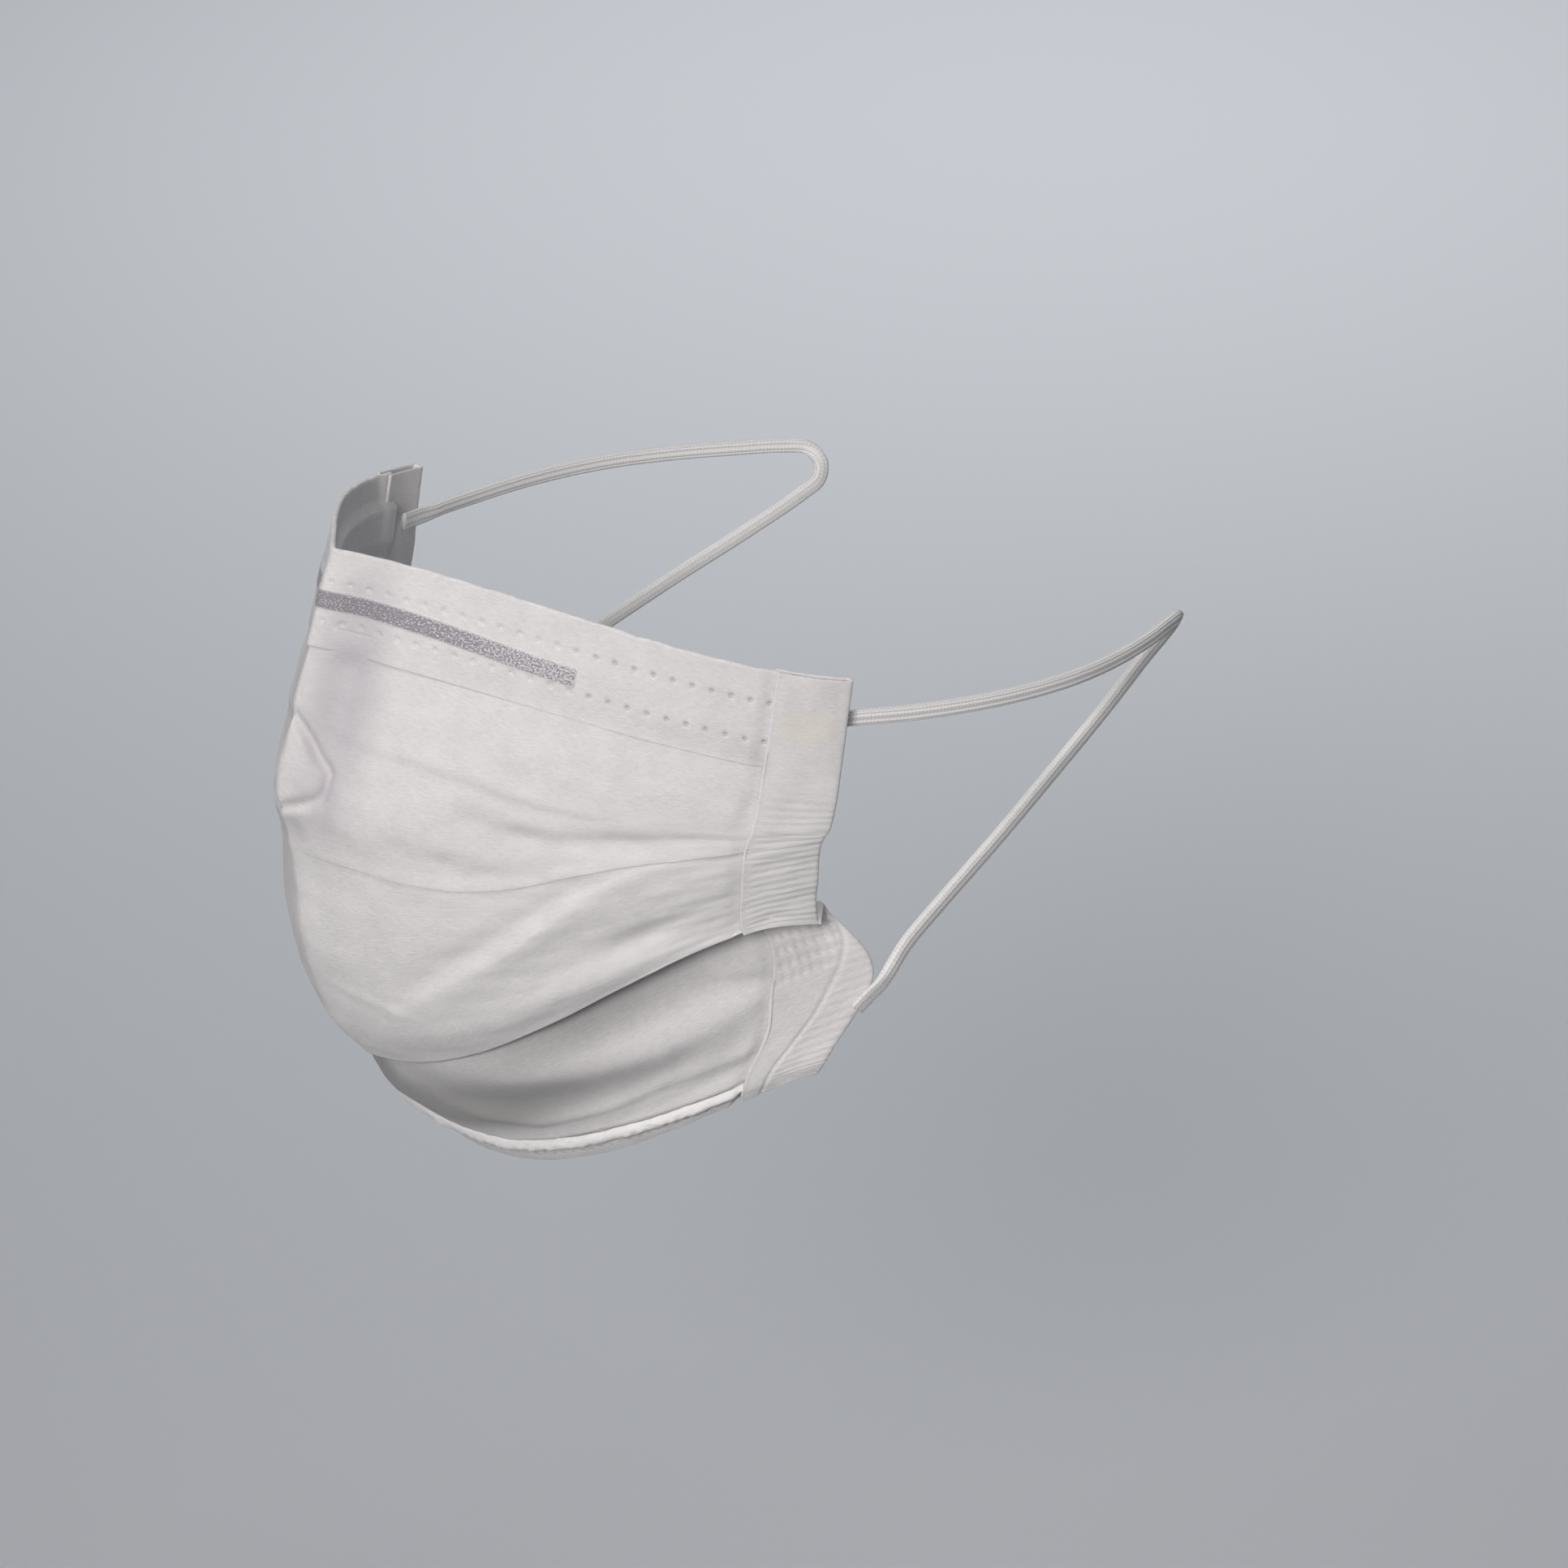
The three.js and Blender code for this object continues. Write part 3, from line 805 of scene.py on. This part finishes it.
def makeSideTape(name, side, facts):
    # a folded strip: outer leaf from its inner edge to the side edge, round it, inner leaf back
    start = halfWidth - facts["width"]
    end = halfWidth - 0.1
    proud = facts["proud"]
    inner = facts["inner"]
    section = [
        (start + 0.5, -proud + 0.28, 0, start - 0.4),
        (start + 0.06, -proud + 0.16, 1, start - 0.1),
    ]
    section += [(s, -proud, 1, s) for s in np.arange(start + 0.1, end - 0.9, facts["step"])]
    middle = (inner - proud) / 2
    half = (inner + proud) / 2
    for angle in np.linspace(0.08, 0.92, 12) * math.pi:
        section.append((end - 0.8 + 0.8 * math.sin(angle), middle - half * math.cos(angle), 1,
                        end - 0.8 + half * angle))
    section += [(s, inner, 0, 2 * end + 1.6 - s) for s in np.arange(end - 1.2, start, -0.9)]
    across, inset, outer, flat = np.array(section).T
    blocks = []
    uvs = []
    stops = [
        (front, np.concatenate([np.arange(0, 94.7, facts["step"]), [94.75, 94.95]])),
        (ledge, np.array([95.0, 95.15, 95.5, 96.2, 97, 97.8, 98.6, 99.3])),
        (under, np.append(np.arange(100, downs[-1] - 0.05, facts["step"]), downs[-1])),
    ]
    for run, down in stops:
        v = np.broadcast_to(down[:, None], (len(down), len(across)))
        inEdge = tapeEdge(down)[:, None]
        line = tapeLine(down)[:, None]
        u = end - (end - across[None, :]) * (end - inEdge) / (end - start)
        shows = outer[None, :]
        turns = np.interp(v, downs, sideRun) / facts["ribPitch"]
        ribs = np.sin(2 * math.pi * turns) * facts["ribHeight"]
        ribs = ribs * smoothStep(facts["ribFrom"], facts["ribFrom"] + 6, v)
        ribs = ribs * (1 - smoothStep(facts["ribTo"], facts["ribTo"] + 2, v))
        ribs = ribs * smoothStep(start + 1.0, start + 2.0, u) 
        fineRibs = np.sin(2 * math.pi * v / 1.05) * 0.05 * smoothStep(102, 104, v)
        fineRibs = fineRibs * smoothStep(0.4, 1.2, u - line)
        groove = -0.3 * bell(u - line, 0.4) * smoothStep(100, 104, v)
        pitch = facts["embossPitch"]
        stagger = np.floor(v / pitch) * pitch / 2
        du = ((u + stagger) / pitch - np.floor((u + stagger) / pitch) - 0.5) * pitch
        dv = (v / pitch - np.floor(v / pitch) - 0.5) * pitch
        emboss = -0.26 * (1 - smoothStep(0.25, 0.6, np.hypot(du, dv)))
        emboss = emboss * smoothStep(100.2, 101.0, v) * (1 - smoothStep(107.5, 109, v))
        emboss = emboss * (1 - smoothStep(-1.0, -0.4, u - line)) * smoothStep(0.8, 1.4, u - inEdge)
        edgeLine = 0.07 * bell(u - inEdge - 0.35, 0.3)
        swell = ripple(u, v, 51 + side, 9.0, 12.0) * 0.12 + ripple(u, v, 55, 3.5, 3.0) * 0.02
        relief = (ribs + fineRibs + groove + emboss + edgeLine + swell) * shows
        # both leaves lie close together round the corner of the flap
        corner = smoothStep(92.8, 94.8, v) * (1 - smoothStep(100, 102, v)) * smoothStep(77, 80, u)
        depth = (inset[None, :] + proud) * (1 - 0.72 * corner) - proud - relief
        points = clothPoint(u * side, v, depth, run)
        blocks.append(points)
        uvs.append(clothUv(side * np.broadcast_to(flat[None, :], u.shape), v))
    points = np.vstack(blocks)
    uv = np.vstack(uvs)
    if side < 0:
        points = points[:, ::-1]
        uv = uv[:, ::-1]
    piece = gridMesh("tape_strip_" + name, points, uv)
    thicken(piece, facts["wall"])
    standFor(piece, "side_binding_" + name)
    return piece


tapeLeft = makeSideTape("left", 1, tapeFacts)
tapeRight = makeSideTape("right", -1, tapeFacts)
print("side tapes made")


def put(tree, kind, settings, feeds):
    # a node with its settings, each input given a value or joined to a socket
    node = tree.nodes.new("ShaderNode" + kind)
    for key, value in settings.items():
        setattr(node, key, value)
    for socket, feed in feeds.items():
        if isinstance(feed, bpy.types.NodeSocket):
            tree.links.new(feed, node.inputs[socket])
        else:
            node.inputs[socket].default_value = feed
    return node


def calc(tree, operation, *feeds):
    return put(tree, "Math", {"operation": operation}, dict(enumerate(feeds))).outputs[0]


def ramp(tree, value, low, high, first=0.0, last=1.0):
    feeds = {0: value, 1: low, 2: high, 3: first, 4: last}
    return put(tree, "MapRange", {"interpolation_type": "SMOOTHSTEP"}, feeds).outputs[0]


def hypot(tree, first, second):
    # sqrt(a^2 + b^2)
    squares = [calc(tree, "MULTIPLY", side, side) for side in (first, second)]
    return calc(tree, "SQRT", calc(tree, "ADD", *squares))


def newGroup(name, ins, outs):
    group = bpy.data.node_groups.new(name, "ShaderNodeTree")
    for label, kind, value in ins:
        socket = group.interface.new_socket(label, in_out="INPUT", socket_type="NodeSocket" + kind)
        if value is not None:
            socket.default_value = value
    for label, kind in outs:
        group.interface.new_socket(label, in_out="OUTPUT", socket_type="NodeSocket" + kind)
    return group, group.nodes.new("NodeGroupInput").outputs, group.nodes.new("NodeGroupOutput").inputs


def clothPlaceGroup():
    # UV of a cloth piece turned back into millimetres along and down
    outs = [("Place", "Vector"), ("Along", "Float"), ("Down", "Float")]
    group, _, result = newGroup("clothPlace", [], outs)
    uv = put(group, "UVMap", {"uv_map": "cloth"}, {}).outputs[0]
    parts = put(group, "SeparateXYZ", {}, {0: uv}).outputs
    along = calc(group, "MULTIPLY_ADD", parts[0], uvSpan, -uvOffset[0])
    down = calc(group, "MULTIPLY_ADD", parts[1], uvSpan, -uvOffset[1])
    place = put(group, "CombineXYZ", {}, {0: along, 1: down}).outputs[0]
    for socket, feed in zip(result, (place, along, down)):
        group.links.new(feed, socket)
    return group


def spunbondGroup():
    # crossing fibres, cloudy thin and thick places, and a lattice of tiny bonded points
    group, given, result = newGroup(
        "spunbond",
        [("Place", "Vector", None), ("Bond Pitch", "Float", 1.4)],
        [("Tone", "Float"), ("Height", "Float")],
    )
    place = given["Place"]
    fibres = []
    for turn, wide, long in ((0.35, 7.0, 0.55), (-0.8, 6.0, 0.5), (1.3, 8.0, 0.7)):
        mapped = put(group, "Mapping", {}, {0: place, 2: (0, 0, turn), 3: (long, wide, 1)}).outputs[0]
        noise = put(group, "TexNoise", {}, {"Vector": mapped, "Scale": 1.0, "Detail": 2.0}).outputs[0]
        fibres.append(ramp(group, noise, 0.48, 0.72))
    fibre = calc(group, "MAXIMUM", calc(group, "MAXIMUM", fibres[0], fibres[1]), fibres[2])
    cloud = put(group, "TexNoise", {}, {"Vector": place, "Scale": 0.24, "Detail": 3.0}).outputs[0]
    grain = put(group, "TexNoise", {}, {"Vector": place, "Scale": 2.6, "Detail": 2.0}).outputs[0]
    shrink = calc(group, "DIVIDE", 1.0, given["Bond Pitch"])
    scaled = put(group, "VectorMath", {"operation": "SCALE"}, {0: place, "Scale": shrink}).outputs[0]
    turned = put(group, "Mapping", {}, {0: scaled, 2: (0, 0, 0.785)}).outputs[0]
    lattice = {"Vector": turned, "Scale": 1.0, "Randomness": 0.0}
    points = put(group, "TexVoronoi", {"feature": "F1"}, lattice)
    bond = ramp(group, points.outputs["Distance"], 0.16, 0.34, 1.0, 0.0)
    tone = calc(group, "MULTIPLY_ADD", fibre, 0.34, 0.1)
    tone = calc(group, "MULTIPLY_ADD", cloud, 0.55, tone)
    tone = calc(group, "MULTIPLY_ADD", grain, 0.2, tone)
    tone = calc(group, "MULTIPLY_ADD", bond, -0.06, tone)
    height = calc(group, "MULTIPLY_ADD", fibre, 0.5, calc(group, "MULTIPLY", grain, 0.35))
    height = calc(group, "MULTIPLY_ADD", bond, -0.18, height)
    group.links.new(tone, result["Tone"])
    group.links.new(height, result["Height"])
    return group


def dotRowGroup():
    # mask of round dots, pitch apart, along one row
    group, given, result = newGroup(
        "dotRow",
        [("Along", "Float", 0), ("Down", "Float", 0), ("Row", "Float", 0), ("Pitch", "Float", 3),
         ("Radius", "Float", 0.5)],
        [("Mask", "Float")],
    )
    share = calc(group, "FRACT", calc(group, "DIVIDE", given["Along"], given["Pitch"]))
    du = calc(group, "MULTIPLY", calc(group, "SUBTRACT", share, 0.5), given["Pitch"])
    dv = calc(group, "SUBTRACT", given["Down"], given["Row"])
    ratio = calc(group, "DIVIDE", hypot(group, du, dv), given["Radius"])
    group.links.new(ramp(group, ratio, 0.6, 1.15, 1.0, 0.0), result["Mask"])
    return group


def softOvalGroup():
    # soft oval mask: 1 in its middle, 0 past its radii, the same on both halves of the face
    group, given, result = newGroup(
        "softOval",
        [("Along", "Float", 0), ("Down", "Float", 0),
         ("Middle Along", "Float", 0), ("Middle Down", "Float", 0),
         ("Radius Along", "Float", 5), ("Radius Down", "Float", 5)],
        [("Mask", "Float")],
    )
    wide = calc(group, "ABSOLUTE", given["Along"])
    du = calc(group, "SUBTRACT", wide, given["Middle Along"])
    dv = calc(group, "SUBTRACT", given["Down"], given["Middle Down"])
    du = calc(group, "DIVIDE", du, given["Radius Along"])
    dv = calc(group, "DIVIDE", dv, given["Radius Down"])
    group.links.new(ramp(group, hypot(group, du, dv), 0.2, 1.0, 1.0, 0.0), result["Mask"])
    return group


clothPlace = clothPlaceGroup()
softOval = softOvalGroup()
spunbond = spunbondGroup()
dotRow = dotRowGroup()


def useGroup(tree, group, feeds):
    return put(tree, "Group", {"node_tree": group}, feeds).outputs


def startMaterial(name, roughness, sheen):
    material = bpy.data.materials.new(name)
    material.use_nodes = True
    tree = material.node_tree
    shader = tree.nodes["Principled BSDF"]
    shader.inputs["Roughness"].default_value = roughness
    shader.inputs["Sheen Weight"].default_value = sheen
    shader.inputs["Sheen Roughness"].default_value = 0.5
    shader.inputs["Specular IOR Level"].default_value = 0.3
    return material, tree, shader


def mixColour(tree, factor, first, second):
    node = put(tree, "Mix", {"data_type": "RGBA"}, {0: factor})
    for slot, feed in ((6, first), (7, second)):
        if isinstance(feed, bpy.types.NodeSocket):
            tree.links.new(feed, node.inputs[slot])
        else:
            node.inputs[slot].default_value = (*feed, 1)
    return node.outputs[2]


def finishSurface(tree, shader, colour, height, strength, distance):
    tree.links.new(colour, shader.inputs["Base Color"])
    bump = put(tree, "Bump", {}, {"Strength": strength, "Distance": distance, "Height": height})
    tree.links.new(bump.outputs[0], shader.inputs["Normal"])


clothTones = {
    "light": (0.77, 0.745, 0.735),
    "dark": (0.65, 0.63, 0.625),
    "weld": (0.52, 0.50, 0.50),
    "raised": (0.86, 0.845, 0.83),
    "warm": (0.72, 0.67, 0.56),
    # painted shade tones, for the darker ovals below
    "hollowShade": (0.47, 0.44, 0.47),
    "shade": (0.27, 0.268, 0.262),
    "wire": (0.235, 0.222, 0.245),
    # painted glint tone of the wire seen through the cloth
    "wireGlint": (0.66, 0.64, 0.66),
    "bump": 0.35,
    "bumpDistance": 0.0002,
}


# Painted shade: soft ovals that darken the cloth beside the nose, in hollows and under the flap.
# Rows: middle along, middle down, radius along, radius down, how dark, tone.
paintedShadeOvals = [
    (7.4, 24.0, 9.5, 34.0, 0.62, "hollowShade"),
    (8.2, 41.0, 3.6, 6.0, 0.35, "hollowShade"),
    (1.5, 48.0, 4.0, 5.0, 0.4, "hollowShade"),
    (36.0, 40.0, 14.0, 4.5, 0.2, "hollowShade"),
    (56.0, 38.0, 16.0, 3.5, 0.2, "hollowShade"),
    (57.0, 75.0, 8.0, 5.0, 0.2, "hollowShade"),
    (12.0, 110.5, 46.0, 9.5, 0.95, "shade"),
    (44.0, 101.0, 36.0, 5.5, 0.75, "shade"),
    (52.0, 112.5, 18.0, 4.0, 0.3, "shade"),
]


def clothBase(tree, pitch):
    place = useGroup(tree, clothPlace, {})
    fibres = useGroup(tree, spunbond, {"Place": place["Place"], "Bond Pitch": pitch})
    tone = ramp(tree, fibres["Tone"], 0.25, 0.85)
    colour = mixColour(tree, tone, clothTones["dark"], clothTones["light"])
    # painted shade: the colour of every cloth piece is darkened in these ovals
    for along, down, radiusAlong, radiusDown, dark, name in paintedShadeOvals:
        feeds = {
            "Along": place["Along"], "Down": place["Down"],
            "Middle Along": along, "Middle Down": down,
            "Radius Along": radiusAlong, "Radius Down": radiusDown,
        }
        oval = useGroup(tree, softOval, feeds)["Mask"]
        colour = mixColour(tree, calc(tree, "MULTIPLY", oval, dark), colour, clothTones[name])
    return place, fibres["Height"], colour


def dotMask(tree, place, row, facts):
    feeds = {
        "Along": place["Along"], "Down": place["Down"], "Row": row,
        "Pitch": facts["dotPitch"], "Radius": facts["dotRadius"],
    }
    return useGroup(tree, dotRow, feeds)["Mask"]


def bodyMaterial():
    material, tree, shader = startMaterial("body_cloth", 0.9, 0.15)
    _, height, colour = clothBase(tree, 1.5)
    finishSurface(tree, shader, colour, height, clothTones["bump"], clothTones["bumpDistance"])
    return material


def topHemMaterial(facts):
    # the wire shows through as a dark band, with painted glints of its metal as light specks,
    # more of them towards its ends
    material, tree, shader = startMaterial("hem_cloth", 0.9, 0.15)
    place, height, colour = clothBase(tree, 1.5)
    down, along = place["Down"], place["Along"]
    wide = calc(tree, "ABSOLUTE", along)
    drop = ramp(tree, wide, 10.0, facts["wireEnd"], 0.0, facts["wireDrop"])
    below = calc(tree, "SUBTRACT", calc(tree, "SUBTRACT", down, facts["wireTop"]), drop)
    band = calc(tree, "MULTIPLY", ramp(tree, below, -0.25, 0.35), ramp(tree, below, 2.75, 3.3, 1.0, 0.0))
    band = calc(tree, "MULTIPLY", band, ramp(tree, wide, 42.2, 42.7, 1.0, 0.0))
    # painted glints: light specks from noise, more of them towards the ends of the wire
    grain = {"Vector": place["Place"], "Scale": 3.0, "Detail": 3.0}
    specks = put(tree, "TexNoise", {}, grain).outputs[0]
    more = ramp(tree, wide, 2.0, 42.0, 0.62, 0.51)
    glints = calc(tree, "SUBTRACT", specks, more)
    glints = ramp(tree, glints, -0.10, 0.08)
    metal = mixColour(tree, glints, clothTones["wire"], clothTones["wireGlint"])
    veil = calc(tree, "MULTIPLY", band, 0.9)
    colour = mixColour(tree, veil, colour, metal)
    for row in facts["dotRows"]:
        dots = dotMask(tree, place, row, facts)
        seen = calc(tree, "MULTIPLY", dots, ramp(tree, wide, 38.0, 46.0, 0.15, 0.85))
        colour = mixColour(tree, seen, colour, clothTones["weld"])
    finishSurface(tree, shader, colour, height, clothTones["bump"], clothTones["bumpDistance"])
    return material


def bottomHemMaterial(facts):
    material, tree, shader = startMaterial("lower_hem_cloth", 0.92, 0.2)
    place, height, colour = clothBase(tree, 1.5)
    dots = dotMask(tree, place, facts["dotRow"], facts)
    end = facts["top"] + facts["roll"]
    strip = ramp(tree, place["Down"], end - 0.3, end + 0.5, 1.0, 0.0)
    colour = mixColour(tree, calc(tree, "MULTIPLY", strip, 0.6), colour, clothTones["raised"])
    colour = mixColour(tree, calc(tree, "MULTIPLY", dots, 0.5), colour, clothTones["weld"])
    finishSurface(tree, shader, colour, height, 0.6, clothTones["bumpDistance"])
    return material


def tapeMaterial():
    material, tree, shader = startMaterial("side_tape", 0.85, 0.12)
    place, height, colour = clothBase(tree, 1.1)
    wide = calc(tree, "ABSOLUTE", place["Along"])
    # a warm tint where the end of the elastic lies behind the tape
    du = calc(tree, "DIVIDE", calc(tree, "SUBTRACT", wide, 79.5), 5.0)
    dv = calc(tree, "DIVIDE", calc(tree, "SUBTRACT", place["Down"], 8.5), 3.0)
    far = calc(tree, "ADD", calc(tree, "MULTIPLY", du, du), calc(tree, "MULTIPLY", dv, dv))
    glow = ramp(tree, far, 0.5, 1.3, 0.4, 0.0)
    colour = mixColour(tree, glow, colour, clothTones["warm"])
    finishSurface(tree, shader, colour, height, 0.3, clothTones["bumpDistance"])
    return material


def elasticMaterial(facts):
    material, tree, shader = startMaterial("elastic_knit", 0.75, 0.2)
    uv = put(tree, "UVMap", {"uv_map": "cloth"}, {}).outputs[0]
    parts = put(tree, "SeparateXYZ", {}, {0: uv}).outputs
    wales = calc(tree, "SINE", calc(tree, "MULTIPLY", parts[0], 2 * math.pi * facts["ribs"]))
    courses = calc(tree, "MULTIPLY", parts[1], 2 * math.pi * facts["length"] / facts["stitchPitch"])
    loops = calc(tree, "SINE", calc(tree, "ADD", courses, calc(tree, "MULTIPLY", wales, 1.2)))
    height = calc(tree, "MULTIPLY_ADD", loops, 0.4, calc(tree, "MULTIPLY", wales, 0.6))
    # painted shade: the knit is darker where it lies low, in the grooves between its loops and wales
    tone = ramp(tree, height, -0.9, 0.6)
    # the noise spots are the yarn's own uneven tone
    spots = put(tree, "TexNoise", {}, {"Vector": uv, "Scale": 60.0, "Detail": 2.0}).outputs[0]
    tone = calc(tree, "MULTIPLY", tone, ramp(tree, spots, 0.25, 0.7, 0.75, 1.0))
    colour = mixColour(tree, tone, facts["dark"], facts["light"])
    finishSurface(tree, shader, colour, height, 0.3, 0.0001)
    return material


wireFacts = {
    "roughness": 0.45,
    "metallic": 0.9,
    "dark": (0.42, 0.42, 0.44),
    "light": (0.62, 0.62, 0.64),
}


def wireMaterial(facts):
    material, tree, shader = startMaterial("soft_wire", facts["roughness"], 0.0)
    place = put(tree, "TexCoord", {}, {}).outputs["Object"]
    noise = put(tree, "TexNoise", {}, {"Vector": place, "Scale": 900.0, "Detail": 3.0}).outputs[0]
    colour = mixColour(tree, noise, facts["dark"], facts["light"])
    shader.inputs["Metallic"].default_value = facts["metallic"]
    finishSurface(tree, shader, colour, noise, 0.2, 0.0001)
    return material


for piece, material in (
    (bodyPiece, bodyMaterial()),
    (topHem, topHemMaterial(topHemFacts)),
    (bottomHem, bottomHemMaterial(bottomHemFacts)),
    (tapeLeft, tapeMaterial()),
):
    piece.data.materials.append(material)
tapeRight.data.materials.append(tapeLeft.data.materials[0])
knit = elasticMaterial(elasticFacts)
for loop in (loopLeft, loopRight):
    loop.data.materials.append(knit)
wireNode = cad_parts["nose_wire"]
wireNode.data.materials.clear()
wireNode.data.materials.append(wireMaterial(wireFacts))
print("materials set")


stageFacts = {
    "floorDrop": 0.22,      # floor below the lowest point of the object
    "floorSize": 6.0,
    "floorColour": (0.50, 0.51, 0.53),
    "sky": (0.88, 0.93, 1.0),
    "skyStrength": 0.17,
}


def makeFloor(facts):
    low = cadBox[0][2] - facts["floorDrop"]
    half = facts["floorSize"] / 2
    mesh = bpy.data.meshes.new("floor")
    corners = [(-half, -half, low), (half, -half, low), (half, half, low), (-half, half, low)]
    mesh.from_pydata(corners, [], [(0, 1, 2, 3)])
    floor = bpy.data.objects.new("floor", mesh)
    bpy.context.scene.collection.objects.link(floor)
    material, _, shader = startMaterial("floor_paint", 0.8, 0.0)
    shader.inputs["Base Color"].default_value = (*facts["floorColour"], 1)
    mesh.materials.append(material)


# name: place, aim, size, watts, colour, spread in degrees
lightTable = {
    "key": ((0.66, -0.78, 0.46), (0.03, 0.03, -0.06), 0.36, 1.02, (1.0, 0.972, 0.962), 60),
    "top": ((0.45, -0.25, 1.05), (0.03, 0.03, -0.05), 0.30, 0.36, (1.0, 0.98, 0.97), 60),
    "front": ((-0.15, -1.0, 0.35), (0.0, 0.02, -0.05), 0.6, 0.22, (0.90, 0.94, 1.0), 100),
    "rim": ((-0.7, 0.5, 0.8), (0.0, 0.05, -0.05), 0.6, 0.8, (0.95, 0.97, 1.0), 120),
    "floor wash": ((-0.9, 0.9, 0.6), (-0.9, 0.9, -0.3), 0.8, 7.0, (0.96, 0.98, 1.0), 150),
}


def makeLight(name, place, aim, size, watts, colour, spread):
    data = bpy.data.lights.new(name, "AREA")
    data.shape = "DISK"
    data.size = size
    data.energy = watts
    data.color = colour
    data.spread = math.radians(spread)
    light = bpy.data.objects.new(name, data)
    light.location = place
    away = np.array(place) - np.array(aim)
    flat = math.hypot(away[0], away[1])
    light.rotation_euler = (math.atan2(flat, away[2]), 0, math.atan2(away[0], -away[1]))
    bpy.context.scene.collection.objects.link(light)


makeFloor(stageFacts)
for lightName, row in lightTable.items():
    makeLight(lightName, *row)
world = bpy.data.worlds.new("studio")
bpy.context.scene.world = world
world.use_nodes = True
sky = world.node_tree.nodes["Background"]
sky.inputs["Color"].default_value = (*stageFacts["sky"], 1)
sky.inputs["Strength"].default_value = stageFacts["skyStrength"]
bpy.context.scene.view_settings.view_transform = "Standard"
print("floor and light set")
